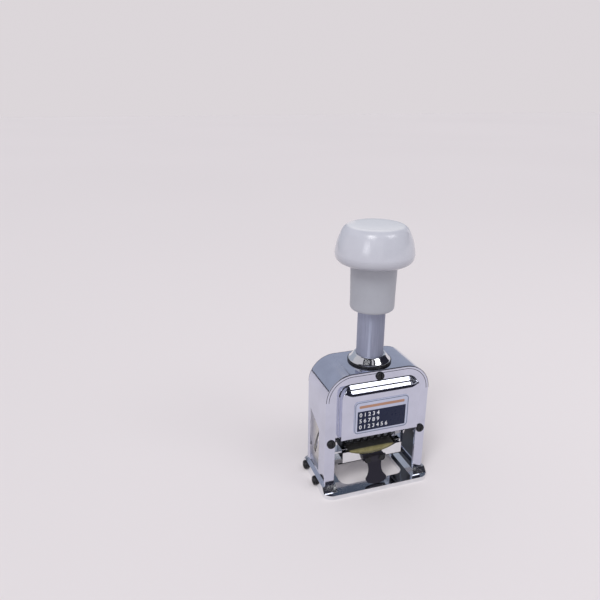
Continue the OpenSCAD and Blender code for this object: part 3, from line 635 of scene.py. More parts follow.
def ring_mesh(name, rings):
    """Joins rings of (x, y, z) points in millimetres with quads and closes the first and the last."""
    bm = bmesh.new()
    rows = [[bm.verts.new(Vector(point) * MM) for point in ring] for ring in rings]
    for low, high in zip(rows, rows[1:]):
        for k, vert in enumerate(low):
            n = (k + 1) % len(low)
            bm.faces.new((vert, low[n], high[n], high[k]))
    bm.faces.new(rows[0])
    bm.faces.new(rows[-1])
    bmesh.ops.recalc_face_normals(bm, faces=bm.faces)
    return solid(bm, name)


# ---- geometry trees ----


class Tree:
    """A Geometry Nodes tree that starts from one mesh and ends in realised, painted geometry."""

    def __init__(self, name, **numbers):
        self.group = bpy.data.node_groups.new(name, "GeometryNodeTree")
        face = self.group.interface
        face.new_socket("Geometry", in_out="INPUT", socket_type="NodeSocketGeometry")
        self.sockets = {}
        for label, value in numbers.items():
            title = label.replace("_", " ").capitalize()
            kind = "NodeSocketInt" if isinstance(value, int) else "NodeSocketFloat"
            socket = face.new_socket(title, in_out="INPUT", socket_type=kind)
            socket.default_value = value
            self.sockets[label] = (title, socket.identifier, value)
        face.new_socket("Geometry", in_out="OUTPUT", socket_type="NodeSocketGeometry")
        self.start = self.add("NodeGroupInput")
        self.end = self.add("NodeGroupOutput")

    def add(self, kind, **settings):
        made = self.group.nodes.new(kind)
        for key, value in settings.items():
            setattr(made, key, value)
        return made

    def wire(self, start, end):
        self.group.links.new(start, end)

    def number(self, label):
        return self.start.outputs[self.sockets[label][0]]

    def finish(self, geometry, finish):
        real = self.add("GeometryNodeRealizeInstances")
        coat = self.add("GeometryNodeSetMaterial")
        coat.inputs["Material"].default_value = PALETTE[finish]
        self.wire(geometry, real.inputs[0])
        self.wire(real.outputs[0], coat.inputs["Geometry"])
        self.wire(coat.outputs["Geometry"], self.end.inputs[0])

    def run(self, source):
        """Evaluates the tree on the source object and returns a plain mesh object."""
        modifier = source.modifiers.new(self.group.name, "NODES")
        modifier.node_group = self.group
        for _, identifier, value in self.sockets.values():
            modifier[identifier] = value
        return tidy(bake(source))


def points_object(name, places, facing):
    """A mesh of single points, each with the direction that a copied part faces."""
    mesh = bpy.data.meshes.new(name)
    mesh.from_pydata([metres(place) for place in places], [], [])
    direction = mesh.attributes.new("facing", "FLOAT_VECTOR", "POINT")
    for item, value in zip(direction.data, facing):
        item.vector = value
    return link(mesh, name)


def copies(name, part, places, facing, finish):
    """Copies of a part, drawn facing +Z at the origin, at the places; made by a geometry tree."""
    tree = Tree(name + "_tree", scale=1.0)
    shape = tree.add("GeometryNodeObjectInfo", transform_space="ORIGINAL")
    shape.inputs["Object"].default_value = part
    direction = tree.add("GeometryNodeInputNamedAttribute", data_type="FLOAT_VECTOR")
    direction.inputs["Name"].default_value = "facing"
    turn = tree.add("FunctionNodeAlignEulerToVector", axis="Z")
    tree.wire(direction.outputs["Attribute"], turn.inputs["Vector"])
    spots = tree.add("GeometryNodeInstanceOnPoints")
    tree.wire(tree.start.outputs[0], spots.inputs["Points"])
    tree.wire(shape.outputs["Geometry"], spots.inputs["Instance"])
    tree.wire(turn.outputs["Rotation"], spots.inputs["Rotation"])
    size = tree.add("ShaderNodeCombineXYZ")
    for axis in "XYZ":
        tree.wire(tree.number("scale"), size.inputs[axis])
    tree.wire(size.outputs["Vector"], spots.inputs["Scale"])
    tree.finish(spots.outputs["Instances"], finish)
    made = tree.run(points_object(name, places, facing))
    bpy.data.objects.remove(part)
    return shade(made)


def swept(name, path, radius, finish, sides=12, cyclic=False):
    """A round rod along a path of points in millimetres; made by a geometry tree."""
    mesh = bpy.data.meshes.new(name)
    count = len(path)
    edges = [(k, k + 1) for k in range(count - 1)] + ([(count - 1, 0)] if cyclic else [])
    mesh.from_pydata([metres(point) for point in path], edges, [])
    tree = Tree(name + "_tree", rod_radius=radius * MM, rod_sides=sides)
    line = tree.add("GeometryNodeMeshToCurve")
    ring = tree.add("GeometryNodeCurvePrimitiveCircle")
    skin = tree.add("GeometryNodeCurveToMesh")
    skin.inputs["Fill Caps"].default_value = True
    tree.wire(tree.start.outputs[0], line.inputs["Mesh"])
    tree.wire(tree.number("rod_sides"), ring.inputs["Resolution"])
    tree.wire(tree.number("rod_radius"), ring.inputs["Radius"])
    tree.wire(line.outputs["Curve"], skin.inputs["Curve"])
    tree.wire(ring.outputs["Curve"], skin.inputs["Profile Curve"])
    tree.finish(skin.outputs["Mesh"], finish)
    return shade(tree.run(link(mesh, name)), 50)


# ---- the machine's pieces ----


def arch_line(x, top, r, low, y, steps=28):
    """The arch's outline from the left leg's foot over the roof to the right leg's foot."""
    left = [(-x + r - r * math.cos(a), y, top - r + r * math.sin(a)) for a in
            (math.pi / 2 * k / steps for k in range(steps + 1))]
    right = [(-p[0], y, p[2]) for p in reversed(left)]
    return [(-x, y, low), *left, *right, (x, y, low)]


def screw_head(name, radius, height, slot):
    """A domed head with a slot, facing +Z, its underside at the origin, all in millimetres."""
    dome = [(0, 0), (radius - 0.08, 0), (radius, 0.08), (radius, height * 0.42),
            (radius * 0.955, height * 0.62), (radius * 0.80, height * 0.85), (radius * 0.52, height * 0.97),
            (0, height)]
    cutter = bmesh.new()
    bmesh.ops.create_cube(cutter, size=1)
    bmesh.ops.scale(cutter, vec=(slot * MM, 4 * radius * MM, 0.9 * height * MM), verts=cutter.verts)
    bmesh.ops.translate(cutter, vec=(0, 0, height * 1.05 * MM), verts=cutter.verts)
    return carve(lathe(name, dome, 48), solid(cutter, name + "_slot"))


def shank(bm, place, direction, depth):
    """Adds a closed rod that runs from place against direction, in millimetres."""
    turn = Vector(direction).to_track_quat("Z", "Y").to_matrix().to_4x4()
    sunk = Matrix.Translation((0, 0, -depth * MM / 2))
    bmesh.ops.create_cone(bm, cap_ends=True, segments=24, radius1=SHANK_R * MM, radius2=SHANK_R * MM,
                          depth=depth * MM, matrix=Matrix.Translation(Vector(place) * MM) @ turn @ sunk)


def make_screws(name, node, places, facing, radius, height, depth):
    """Black screws at the places, in millimetres: heads copied by a geometry tree, each on its shank."""
    head = screw_head(name + "_head", radius, height, sizes().screw_slot / MM)
    heads = copies(name + "_heads", head, places, facing, "black")
    bm = bmesh.new()
    for place, direction in zip(places, facing):
        shank(bm, Vector(place) - Vector(direction) * SHANK_SINK, direction, depth)
    shanks = paint(solid(bm, name + "_shanks"), "black")
    settle(join(name, [heads, shanks]), "frame", "black_screw", node)


def arch_stations(turns=28):
    """Along the arch from foot to foot: a point of its outline, one of its window, the way out."""
    x, cx, cz = CASING_HIGH.x, CASING_HIGH.x - ARCH_R, CASING_HIGH.z - ARCH_R
    wx, wz = WINDOW_X - WINDOW_R, WINDOW_TOP - WINDOW_R
    below = PLATE_BOTTOM - 0.02  # the legs end in a step just under the window
    half = [(x, LEG_LOW, LEG_X, LEG_LOW, 1, 0), (x, below, LEG_X, below, 1, 0),
            (x, PLATE_BOTTOM, WINDOW_X, PLATE_BOTTOM, 1, 0), (x, cz - 0.5, WINDOW_X, cz - 0.5, 1, 0)]
    for k in range(turns + 1):
        a = math.pi / 2 * k / turns
        c, d = math.cos(a), math.sin(a)
        half.append((cx + ARCH_R * c, cz + ARCH_R * d, wx + WINDOW_R * c, wz + WINDOW_R * d, c, d))
    half.append((0, CASING_HIGH.z, 0, WINDOW_TOP, 0, 1))
    both = [(-a, b, -c, d, -e, f) for a, b, c, d, e, f in half] + half[-2::-1]
    return [(Vector((a, b)), Vector((c, d)), Vector((e, f))) for a, b, c, d, e, f in both]


def channel_section(outer, inner, way, fold, edge):
    """The casing's closed section at one station: both walls, joined by the sheet between their folds."""
    along = (outer - inner).normalized()
    quarter = [math.pi / 2 * k / 3 for k in range(4)]
    bend = [math.pi / 2 * k / 8 for k in range(9)]
    lip = [(inner + along * edge * (1 - math.cos(a)), FACE_Y - edge * (1 - math.sin(a))) for a in quarter]
    front = lip + [(outer - way * fold * (1 - math.sin(a)), FACE_Y - fold * (1 - math.cos(a))) for a in bend]
    back_lip = [(inner + along * edge * (1 - math.sin(a)), INNER_Y + edge * (1 - math.cos(a)))
                for a in quarter]
    inside = [(outer - way * SHEET, INNER_Y)] + back_lip
    section = [(p, -y) for p, y in front] + [(p, y) for p, y in reversed(front)]
    section += [(p, y) for p, y in reversed(inside)] + [(p, -y) for p, y in inside]
    return section


class MACHINE_OT_casing(Operator):
    """Make the casing: one sheet folded round an arch, with side openings and the collar's hole"""

    bl_idname = "machine.casing"
    bl_label = "Casing"

    def execute(self, context):
        s = sizes()
        fold, edge = s.arch_fold / MM, s.sheet_edge / MM
        sections = [channel_section(*station, fold, edge) for station in arch_stations()]
        rings = [[(p.x, y, p.y) for p, y in section] for section in sections]
        shell = ring_mesh("casing_shell_folded", rings)
        window = ring_mesh("side_opening", [[(x, y, z) for y, z in SIDE_OPENING] for x in (-40, 40)])
        low, high = CASING_HIGH.z - 4, CASING_HIGH.z + 4
        hole = lathe("collar_hole", [(0, low), (HOLE_R, low), (HOLE_R, high), (0, high)], 64)
        shell = shade(carve(shell, window, hole), 30)
        weigh_normals(round_edges(shell, s.sheet_edge * 0.8, 2, 60))
        settle(paint(bake(shell), "chrome"), "frame", "chrome", "casing_shell")
        # painted dark reflections: thin dark rods along both sides of the arch's fold
        painted_lines = (("outer", fold * 0.3, FACE_Y - fold * 0.3), ("inner", s.fold_strip / MM, FACE_Y))
        for side, view in ((-1, "front"), (1, "rear")):
            for name, inset, y in painted_lines:
                x, top, r = CASING_HIGH.x - inset, CASING_HIGH.z - inset, ARCH_R - inset
                line = arch_line(x, top, r, LEG_LOW, side * y)[1:-1]
                painted_line = swept("casing_%s_%s_line" % (view, name), line, s.fold_line / MM, "dark_steel", 8)
                settle(painted_line, "frame", "chrome")
        return {"FINISHED"}


def pan_depth(inset, share):
    """How far the plate's face lies back at an inset; share is 0 along its sides and 1 along its top."""
    edge, fold = sizes().plate_edge / MM, sizes().plate_fold / MM
    side = edge - math.sqrt(max(0.0, edge ** 2 - max(0.0, edge - inset) ** 2))
    steep, flat = PLATE_DROP / (PLATE_SLOPE - fold / 2), PLATE_SLOPE - fold
    if inset < flat:
        top = steep * (flat - inset + fold / 2)
    else:
        top = steep * (PLATE_SLOPE - inset) ** 2 / (2 * fold)
    return side * (1 - share) + top * share


def pan_ring(inset, depth=None):
    """One closed line round the raised plate, drawn in from its outline, on its face or at a depth."""
    steps = 20
    cx, cz, r = PLATE_X - PLATE_R, PLATE_TOP - PLATE_R, PLATE_R - inset
    x, low = PLATE_X - inset, PLATE_BOTTOM + inset
    half = [(0, low, 0), (x, low, 0), (x, cz - 0.4, 0)]
    for k in range(steps + 1):
        a = math.pi / 2 * k / steps
        t = max(0.0, (k / steps - PLATE_TURN) / (1 - PLATE_TURN))
        half.append((cx + r * math.cos(a), cz + r * math.sin(a), t * t * (3 - 2 * t)))
    half.append((0, PLATE_TOP - inset, 1))
    ring = half + [(-x, z, share) for x, z, share in half[-2:0:-1]]
    if depth is not None:
        return [(x, -depth, z) for x, z, share in ring]
    return [(x, pan_depth(inset, share) - PLATE_FRONT, z) for x, z, share in ring]


def raised_plate(node, side):
    """The raised plate: a pressed pan with a sloped top and turned ends, and its flange behind the casing."""
    rings = [pan_ring(0, INNER_Y)] + [pan_ring(inset) for inset in PAN_INSETS]
    pan = bake(weigh_normals(shade(ring_mesh(node + "_pan", rings), 50)))
    low, gap = PLATE_LOW.z, SHEET + FLANGE_GAP
    outer = arch_line(CASING_HIGH.x - gap, CASING_HIGH.z - gap, ARCH_R - gap, low, 0, 12)
    inner = arch_line(PLATE_X - 1, PLATE_TOP - 1, PLATE_R - 1, PLATE_BOTTOM, 0, 8)
    right = [(LEG_X, 0, low), (LEG_X, 0, PLATE_BOTTOM)]
    left = [(-LEG_X, 0, PLATE_BOTTOM), (-LEG_X, 0, low)]
    loop = [(x, z) for x, _, z in outer + right + inner[::-1] + left]
    flange = sheet_of(node + "_flange", [loop], FLANGE_T, 0.1, FLANGE_T / 2 - INNER_Y)
    for piece in (pan, flange):
        if side > 0:
            piece.data.transform(Matrix.Rotation(math.pi, 4, "Z"))
        settle(paint(piece, "chrome"), "frame", "chrome", node)


class MACHINE_OT_plates(Operator):
    """Make the raised front and back plates, with a fine rib along each sloped top"""

    bl_idname = "machine.plates"
    bl_label = "Front and back plates"

    def execute(self, context):
        seam = sizes().seam / MM
        depth, z = PLATE_FRONT - pan_depth(RIB_INSET, 1) + RIB_PROUD, PLATE_TOP - RIB_INSET + RIB_PROUD
        for node, side in (("front_plate", -1), ("back_plate", 1)):
            raised_plate(node, side)
            # painted dark reflection: the rib is coloured dark to draw the dark line along the sloped top
            ends = [(x, side * depth, z) for x in (-RIB_X, RIB_X)]
            settle(swept(node + "_rib", ends, RIB_R, "dark_steel"), "frame", "chrome")
            # painted shade: a dark rod in the gap round the plate
            line = arch_line(SEAM_X, SEAM_TOP, SEAM_R, PLATE_BOTTOM, side * FACE_Y)
            settle(swept(node + "_seam", line[1:-1], seam, "dark_steel", 8), "frame", "chrome")
            for name, ends in (("left", line[:2]), ("right", line[-2:])):
                settle(swept(node + "_seam_" + name, ends, seam * 1.5, "chrome", 8), "frame", "chrome")
        return {"FINISHED"}


class MACHINE_OT_label(Operator):
    """Make the label: a thin plate with a line round it, a bare strip, and a dark field with plain digits"""

    bl_idname = "machine.label"
    bl_label = "Label"

    def execute(self, context):
        w, h = LABEL_HIGH.x - LABEL_LOW.x, LABEL_HIGH.z - LABEL_LOW.z
        front, thick = LABEL_LOW.y, LABEL_HIGH.y - LABEL_LOW.y
        mid = (LABEL_HIGH.z + LABEL_LOW.z) / 2
        field_z, strip_z = mid - 2.0, mid + 6.2
        line, corner, margin = sizes().label_border / MM, 2.0, 0.5
        ink, edge, proud = 0.08, 0.02, 0.01  # a printed layer: how thick, its edge, how far over another
        border = [rounded(w - margin, h - margin, corner, mid=mid),
                  rounded(w - margin - 2 * line, h - margin - 2 * line, corner - line, mid=mid)]
        ground = [rounded(w, h, corner + 0.2, mid=mid)]
        field = [rounded(w - 3.4, 11.4, 0.25, 3, field_z)]
        strip = [rounded(w - 5.2, 1.5, 0.5, 4, strip_z)]
        layers = (
            ("label_base", ground, thick, 0.1, front + thick / 2, "label_ground"),
            ("label_edge", border, ink, edge, front, "label_line"),
            ("label_field", field, ink, edge, front - proud, "label_field"),
            ("label_strip", strip, ink, edge, front - proud, "label_strip"),
        )
        pieces = [paint(sheet_of(*layer), finish) for *layer, finish in layers]
        font, row_step = 3.105, 3.5
        for row, text in enumerate(("0 1 2 3 4", "5 6 7 8 9", "0 1 2 3 4 5 6")):
            digits = figures("label_%d" % row, text, font, 0.06, 0.04, 4)
            place = metres((2.7 - w / 2, front - 0.055, field_z + 2.65 - row_step * row))
            digits.data.transform(Matrix.Translation(place) @ FRONT)
            pieces.append(paint(tidy(digits), "label_digits"))
        settle(join("label_plate_printed", pieces), "frame", "label", "label_plate")
        return {"FINISHED"}


class MACHINE_OT_screws(Operator):
    """Make the blackened screws of the plates and the base"""

    bl_idname = "machine.screws"
    bl_label = "Screws"

    def execute(self, context):
        for side, node, name in ((-1, "plate_screws", "front_screws"), (1, "back_screws", "rear_screws")):
            spots = ((-SIDE_SCREW_X, SIDE_SCREW_Z), (SIDE_SCREW_X, SIDE_SCREW_Z), (0, TOP_SCREW_Z))
            places = [(x, side * CASING_HIGH.y, z) for x, z in spots]
            make_screws(name, node, places, [(0, side, 0)] * len(places), *PLATE_SCREW)
        spots = [(side, y) for side in (-1, 1) for y in BASE_SCREW_Y]
        places = [(side * BASE_SIDE_X, y, BASE_SCREW_Z) for side, y in spots]
        facing = [(side, 0, 0) for side, y in spots]
        make_screws("base_screws_domed", "base_screws", places, facing, *BASE_SCREW)
        return {"FINISHED"}


class MACHINE_OT_base(Operator):
    """Dress the base ring"""

    bl_idname = "machine.base"
    bl_label = "Base"

    def execute(self, context):
        dressed("base_frame", "frame", "bright", "chrome", sizes().base_edge, 4)
        return {"FINISHED"}


class MACHINE_OT_collar(Operator):
    """Make the turned guide collar on the roof"""

    bl_idname = "machine.collar"
    bl_label = "Guide collar"

    def execute(self, context):
        bottom, top, r, deck = COLLAR_LOW.z, COLLAR_HIGH.z, COLLAR_HIGH.x, ROOF_Z
        flange = deck + 1.2
        profile = [(BORE_R, bottom), (SLEEVE_R, bottom), (SLEEVE_R, deck), (r - 0.35, deck),
                   (r - 0.1, deck + 0.1), (r, deck + 0.4), (r, deck + 0.8), (r - 0.12, deck + 1.08),
                   (r - 0.45, flange), (10.95, deck + 1.24), (10.72, deck + 1.36), (10.3, deck + 1.80),
                   (9.55, deck + 2.75), (8.85, deck + 3.6), (8.35, deck + 4.2), (8.05, deck + 4.42),
                   (7.75, top), (7.3, top), (BORE_R + 0.02, top - 0.2)]
        collar = paint(lathe("guide_collar_turned", profile, closed=True), "bright", "black")
        verts = collar.data.vertices
        # painted dark reflection: the faces up to the flange's top, the flange among them, get the black
        # finish
        for face in collar.data.polygons:
            face.material_index = int(max(verts[v].co.z for v in face.vertices) < (flange + 0.01) * MM)
        settle(collar, "frame", "chrome", "guide_collar")
        return {"FINISHED"}


def cap_profile():
    """Outline of the knob's cap, from its middle under the grip round the rim to its top, in millimetres."""
    low, top, r, grip = CAP_LOW.z, CAP_HIGH.z, CAP_HIGH.x, GRIP_HIGH.x
    return [(0, low + 2.0)] + smooth_line([
        (grip + 0.05, low + 2.0), (grip + 0.05, low), (r - 4.6, low), (r - 3.0, low + 0.12),
        (r - 1.6, low + 0.8), (r - 0.62, low + 1.9), (r - 0.14, low + 3.4), (r, low + 5.0),
        (r - 0.22, low + 7.2), (r - 0.95, low + 10.4), (r - 1.95, low + 13.2), (r - 3.05, low + 15.7),
        (r - 4.05, low + 17.2), (r - 5.5, low + 18.4), (r - 7.4, low + 19.0), (r - 10.0, top - 0.2),
        (r - 14.0, top - 0.04), (0, top)])


def grip_profile():
    """Outline of the knob's grip, from its bore round its foot up to its head, in millimetres."""
    foot, head, wide, narrow = GRIP_LOW.z, GRIP_HIGH.z, GRIP_HIGH.x, GRIP_HIGH.x - 0.4
    return smooth_line([
        (BORE_R + 0.02, foot + 0.5), (7.5, foot + 0.08), (8.3, foot), (narrow - 1.2, foot + 0.1),
        (narrow - 0.42, foot + 0.5), (narrow - 0.08, foot + 1.3), (narrow, foot + 2.4),
        (narrow + 0.02, foot + 8), (wide - 0.12, head - 8), (wide, head - 2.4), (wide, head)], 5)


class MACHINE_OT_knob(Operator):
    """Make the knob's glossy cap and satin grip, and dress the stem"""

    bl_idname = "machine.knob"
    bl_label = "Knob and stem"

    def execute(self, context):
        cap = paint(lathe("knob_cap_moulded", cap_profile(), 192), "cap")
        settle(cap, "plunger", "cap_plastic", "knob_cap")
        seam = circle(CAP_HIGH.x * CAP_SEAM_SHARE, CAP_LOW.z + CAP_SEAM_RISE, 160)
        settle(swept("knob_cap_seam", seam, CAP_SEAM_R, "cap", 8, True), "plunger", "cap_plastic")
        tube = grip_profile() + [(BORE_R, GRIP_HIGH.z)]
        grip = paint(lathe("knob_grip_moulded", tube, closed=True), "grip")
        settle(grip, "plunger", "grip_plastic", "knob_grip")
        dressed("stem_tube", "plunger", "stem", "stem", 0.0)
        return {"FINISHED"}


class MACHINE_OT_wheels(Operator):
    """Make the number wheels: hub, ratchet ring, and ten type blocks with reversed digits"""

    bl_idname = "machine.wheels"
    bl_label = "Number wheels"

    def execute(self, context):
        for index, node in enumerate(WHEELS):
            wheel = round_edges(solid(outline_of(node), node + "_core"), WHEEL_EDGE * MM, 2)
            wheel = paint(shade(bake(wheel)), "wheel")
            digits = digit_ring(node, span(node)[0].x + TYPE_X)
            settle(join(node + "_cut", [wheel, digits]), "wheel_%d" % (index + 1), "wheel", node)
        return {"FINISHED"}


def digit_ring(node, x):
    """Ten digits round a wheel; the one that faces the paper prints upright to the reader in front."""
    size, relief = sizes().digit_height / MM * DIGIT_SIZE, sizes().digit_relief / MM
    axle = Matrix.Translation((x * MM, 0, AXLE_Z * MM))
    down = Matrix.Translation((0, 0, -(TYPE_R + relief / 2 - DIGIT_SINK) * MM))
    ring = []
    for digit in range(10):
        glyph = figures("digit", str(digit), size, relief + 2 * DIGIT_SINK, 0.05, 3, "CENTER")
        turn = Matrix.Rotation(math.radians(36 * digit), 4, "X")
        glyph.data.transform(axle @ turn @ down @ Matrix.Diagonal((DIGIT_WIDTH, 1, 1, 1)))
        ring.append(paint(tidy(glyph), "type"))
    return join(node + "_digits", ring)


class MACHINE_OT_pad(Operator):
    """Make the ink pad: crowned felt, bright tray, dark pull tab, arms, pins and rivets"""

    bl_idname = "machine.pad"
    bl_label = "Ink pad"

    def execute(self, context):
        edge = sizes().part_edge
        dressed("pad_tray", "ink_pad", "bright", "chrome", TRAY_EDGE * MM)
        low, high = span("pad_tray")
        # painted shadow: a black rod along the tray's lower front edge
        ends = [(x, low.y + 0.3, TRAY_SKIRT_Z) for x in (low.x + 0.3, high.x - 0.3)]
        settle(swept("pad_tray_hem", ends, TRAY_SHADOW_R, "black", 10), "ink_pad", "black_screw")
        felt = paint(crowned_felt(), "felt")
        settle(felt, "ink_pad", "felt", "ink_felt")
        dressed("pad_tab", "ink_pad", "tab", "tab_plastic", TAB_EDGE * MM)
        for node in ("left_pad_arm", "right_pad_arm"):
            dressed(node, "ink_pad", "bright", "chrome", edge)
        dressed("cam_pins", "ink_pad", "steel", "steel", edge)
        dressed("pad_rivets", "ink_pad", "black", "black_screw", edge)
        return {"FINISHED"}


def crowned_felt():
    """The felt as a thick cushion: flat under, bulging forwards over the tray's bowed lip."""
    low, high = FELT_LOW, FELT_HIGH
    bulge = sizes().felt_crown / MM
    half, mid_y, half_y = (high.x - low.x) / 2, (high.y + low.y) / 2, (high.y - low.y) / 2
    across = 72
    # a section from the rear foot over the top to the front foot: share of the depth, share of the height
    section = [(1, 0), (1, 0.45), (0.985, 0.80), (0.94, 0.95), (0.86, 0.99)]
    section += [(0.7 - 0.1 * k, 1.0) for k in range(15)]
    section += [(-0.78, 0.995), (-0.88, 0.975), (-0.945, 0.93), (-0.985, 0.84), (-1, 0.70), (-1, 0.52),
                (-1, 0.34), (-1, 0.17), (-1, 0)]
    rings = []
    for i in range(across + 1):
        u = -1 + 2 * i / across
        side = max(0.0, 1 - abs(u) ** 10) ** 0.5
        lip = LIP_LOW + (LIP_HIGH - LIP_LOW) * u * u
        ring = []
        for depth, rise in section:
            lump = 0.05 * math.sin(u * 11 + depth * 5) + 0.03 * math.sin(u * 29 - depth * 8)
            z = low.z + (high.z - 0.08 - low.z) * rise * (0.6 + 0.4 * side) + min(0, lump) * rise * side
            above = min(1.0, max(0.0, (z - lip) / max(0.4, high.z - lip)))
            forward = bulge * (1 - u ** 4) * max(0.0, -depth) ** 12 * math.sin(math.pi * above ** 0.7) ** 0.7
            ring.append((u * half, mid_y + depth * half_y - forward, z))
        rings.append(ring)
    return shade(ring_mesh("ink_felt_crowned", rings), 60)


class MACHINE_OT_slide(Operator):
    """Dress the inner slide, the axle, the combs, the cam plates and the selector"""

    bl_idname = "machine.slide"
    bl_label = "Slide and combs"

    def execute(self, context):
        edge = sizes().part_edge
        for node in ("slider_bridge", "cheek_rivets", "wheel_axle", "detent_comb", "spring_plug",
                     "knob_stud"):
            dressed(node, "plunger", "steel", "steel", edge)
        for node in ("left_cheek", "right_cheek"):
            dressed(node, "plunger", "bright", "chrome", edge)
        for node in ("axle_clips", "stem_screws"):
            dressed(node, "plunger", "black", "black_screw", edge)
        dressed("repeat_selector", "selector", "black", "black_screw", edge)
        dressed("pawl_yoke", "pawls", "steel", "steel", edge)
        dressed("pawl_comb", "pawls", "black", "black_screw", edge * 0.5)
        dressed("left_cam_plate", "frame", "nickel", "steel", edge)
        # painted shade: the right cam plate, the same part as the pale left one, is painted dark as the shade
        # inside the casing
        dressed("right_cam_plate", "frame", "dark_steel", "steel", edge)
        for node in ("collar_nut", "stop_pin", "spring_seat"):
            dressed(node, "frame", "steel", "steel", edge)
        return {"FINISHED"}


class MACHINE_OT_spring(Operator):
    """Wind the return spring inside the stem"""

    bl_idname = "machine.spring"
    bl_label = "Return spring"

    def execute(self, context):
        low, high = SPRING_LOW.z, SPRING_HIGH.z
        wire = 0.55
        mean, dead = SPRING_HIGH.x - wire, 0.9 * wire  # dead is the rise of the closed turn at each end
        turns = sizes().spring_turns
        steps = turns * 28
        path = []
        for k in range(steps + 1):
            wound = turns * k / steps
            rise = min(1.0, max(0.0, (wound - 1) / (turns - 2))) * (high - low - 4 * wire)
            a = 2 * math.pi * wound
            z = low + wire + dead * min(wound, 1) + rise + dead * max(0, wound - turns + 1)
            path.append((mean * math.cos(a), mean * math.sin(a), z))
        coil = swept("return_spring_wound", path, wire, "steel", 10)
        settle(coil, "frame", "steel", "return_spring")
        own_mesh(coil)
        return {"FINISHED"}


# ---- stage ----

HUB = Vector((0, 0, 0.06))  # what the lights and cards look at, in metres
# Where the camera stands, in metres, and in degrees the way from its target back to it, and its roll.
CAMERA_AT = (-0.12632, -0.25456, 0.20386)
CAMERA_BEARING, CAMERA_ELEVATION, CAMERA_ROLL = -161.0093, 19.9700, 0.4293
CAMERA_LENS = 35.494
GREY, DIM, DARK = (0.40, 0.43, 0.50), (0.09, 0.11, 0.15), (0.02, 0.02, 0.03)
# Cards round the machine: azimuths, elevations, distance in metres, light.
CARDS = {
    "grey_roof": ((10, 62), (17, 25, 32), 1.3, GREY),
    "grey_right": ((22, 48), (-16, 0, 17.5), 1.32, GREY),
    "grey_shoulder": ((-46, 13), (0.4, 18, 36), 1.34, GREY),
    "dark_behind": ((14, 62), (32.5, 44, 54), 1.3, DIM),
    "horizon": ((-60, -12), (-2.4, 0.4), 1.3, (0.01, 0.01, 0.015)),
    "dark_front": ((112, 182), (6, 20, 39), 1.3, DARK),
    "window_left": ((222, 240), (12, 22, 32), 1.3, (3.6, 3.6, 3.7)),
    "dark_foot": ((154, 172), (39, 48, 57), 1.3, DARK),
    "dark_right": ((66, 118), (8, 26, 60), 1.4, DARK),
    "dark_left": ((184, 250), (36, 50, 62), 1.4, DARK),
    "dark_above": ((0, 360), (60, 75, 89.9), 1.5, DARK),
}


def bearing(azimuth, elevation):
    """A direction from its azimuth (0 is +Y, 90 is +X) and elevation, in degrees."""
    a, e = math.radians(azimuth), math.radians(elevation)
    return Vector((math.sin(a) * math.cos(e), math.cos(a) * math.cos(e), math.sin(e)))


def lamp_at(lamp, azimuth, elevation, distance=1.0):
    """Hangs a lamp round the hub, so that it shines on the machine."""
    direction = bearing(azimuth, elevation)
    made = link(lamp, lamp.name)
    made.location = HUB + direction * distance
    made.rotation_euler = direction.to_track_quat("Z", "Y").to_euler()


def reflector(name, azimuths, elevations, distance, glow):
    """A curved card round the machine that only reflections see, as a studio has round a metal object."""
    bm = bmesh.new()
    columns = max(2, int(abs(azimuths[1] - azimuths[0]) / 6) + 1)
    rings = []
    for step in range(columns + 1):
        azimuth = azimuths[0] + (azimuths[1] - azimuths[0]) * step / columns
        rings.append([bm.verts.new(HUB + bearing(azimuth, e) * distance) for e in elevations])
    for left, right in zip(rings, rings[1:]):
        for k in range(len(elevations) - 1):
            bm.faces.new((left[k], right[k], right[k + 1], left[k + 1]))
    card = solid(bm, name)
    card.visible_camera = card.visible_diffuse = card.visible_shadow = card.visible_transmission = False
    finish = Finish(name, (0, 0, 0), roughness=1, Specular_IOR_Level=0, Emission_Color=(*glow, 1),
                    Emission_Strength=1)
    card.data.materials.append(finish.material)


def set_camera(scene):
    """The camera at the photograph's viewing angle."""
    camera = link(bpy.data.cameras.new("camera"), "camera")
    turn = bearing(CAMERA_BEARING, CAMERA_ELEVATION).to_track_quat("Z", "Y").to_matrix().to_4x4()
    roll = Matrix.Rotation(math.radians(CAMERA_ROLL), 4, "Z")
    camera.matrix_world = Matrix.Translation(CAMERA_AT) @ turn @ roll
    camera.data.lens = CAMERA_LENS
    camera.data.sensor_width = 36
    camera.data.clip_start, camera.data.clip_end = 0.01, 50
    scene.camera = camera


def lay_floor():
    """A wide sheet of pale paper at height 0."""
    bm = bmesh.new()
    bmesh.ops.create_grid(bm, x_segments=1, y_segments=1, size=4)
    floor = solid(bm, "floor")
    paper = Finish("floor_paper", colours().floor, roughness=0.9, Specular_IOR_Level=0.1)
    paper.vary_colour(paper.noise(700, 1), darker(paper.colour, 0.985))
    floor.data.materials.append(paper.material)


def paint_world(scene):
    """A pale world, a little darker above than at the horizon."""
    world = bpy.data.worlds.new("studio")
    scene.world = world
    world.use_nodes = True
    tree = world.node_tree
    height = tree.nodes.new("ShaderNodeSeparateXYZ")
    rise = tree.nodes.new("ShaderNodeMapRange")
    rise.inputs["From Min"].default_value, rise.inputs["From Max"].default_value = 0.16, 0.40
    sky = tree.nodes.new("ShaderNodeMix")
    sky.data_type = "RGBA"
    sky.inputs["A"].default_value = (0.715, 0.675, 0.70, 1)
    sky.inputs["B"].default_value = (0.58, 0.57, 0.60, 1)
    tree.links.new(tree.nodes.new("ShaderNodeTexCoord").outputs["Generated"], height.inputs["Vector"])
    tree.links.new(height.outputs["Z"], rise.inputs["Value"])
    tree.links.new(rise.outputs["Result"], sky.inputs["Factor"])
    tree.links.new(sky.outputs["Result"], tree.nodes["Background"].inputs["Color"])


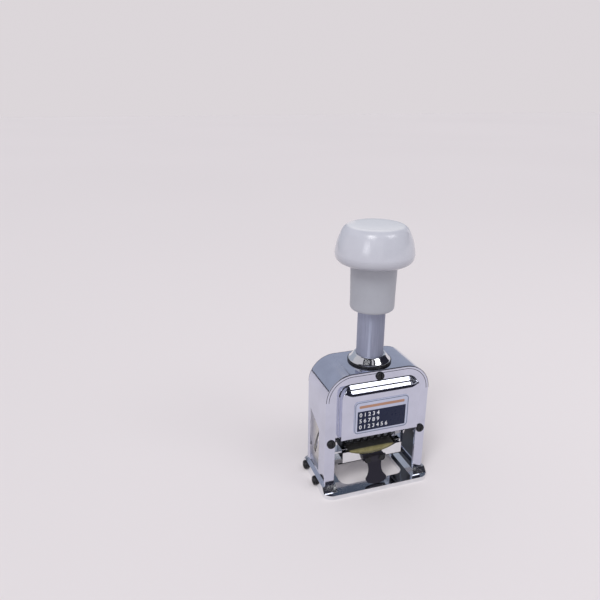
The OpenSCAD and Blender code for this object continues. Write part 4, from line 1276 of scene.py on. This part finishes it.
def hang_lamps():
    """A broad soft sun from the front left, and a small panel from the front right."""
    sun = bpy.data.lights.new("sun", "SUN")
    sun.energy, sun.angle = 1.35, math.radians(24)
    lamp_at(sun, -138, 51)
    panel = bpy.data.lights.new("panel", "AREA")
    panel.shape = "RECTANGLE"
    panel.size, panel.size_y = 0.36, 0.28
    panel.energy = 0.9
    lamp_at(panel, 140.5, 48, 0.9)


class MACHINE_OT_stage(Operator):
    """Set the camera, the pale floor, the soft lights and the world"""

    bl_idname = "machine.stage"
    bl_label = "Stage"

    def execute(self, context):
        set_camera(context.scene)
        lay_floor()
        paint_world(context.scene)
        hang_lamps()
        for name, card in CARDS.items():
            reflector(name, *card)
        context.scene.view_settings.view_transform = "Standard"
        return {"FINISHED"}


class MACHINE_PT_panel(Panel):
    """Lists the machine's sizes, colours and pieces"""

    bl_idname = "MACHINE_PT_panel"
    bl_label = "Numbering machine"
    bl_space_type = "VIEW_3D"
    bl_region_type = "UI"
    bl_category = "Numbering machine"

    def draw(self, context):
        for group in (context.scene.machine_sizes, context.scene.machine_colours):
            box = self.layout.box()
            for key in group.bl_rna.properties.keys():
                if key not in ("rna_type", "name"):
                    box.prop(group, key)
        for step in STEPS:
            self.layout.operator(step.bl_idname)


STEPS = (
    MACHINE_OT_casing, MACHINE_OT_plates, MACHINE_OT_label, MACHINE_OT_screws, MACHINE_OT_base,
    MACHINE_OT_collar, MACHINE_OT_knob, MACHINE_OT_wheels, MACHINE_OT_pad, MACHINE_OT_slide,
    MACHINE_OT_spring, MACHINE_OT_stage,
)
CLASSES = (MachineSizes, MachineColours, *STEPS, MACHINE_PT_panel)


def register():
    for item in CLASSES:
        bpy.utils.register_class(item)
    bpy.types.Scene.machine_sizes = PointerProperty(type=MachineSizes)
    bpy.types.Scene.machine_colours = PointerProperty(type=MachineColours)


def unregister():
    del bpy.types.Scene.machine_sizes, bpy.types.Scene.machine_colours
    for item in reversed(CLASSES):
        bpy.utils.unregister_class(item)


def main():
    register()
    mix_palette()
    for step in STEPS:
        group, name = step.bl_idname.split(".")
        getattr(getattr(bpy.ops, group), name)()


if __name__ == "__main__":
    main()
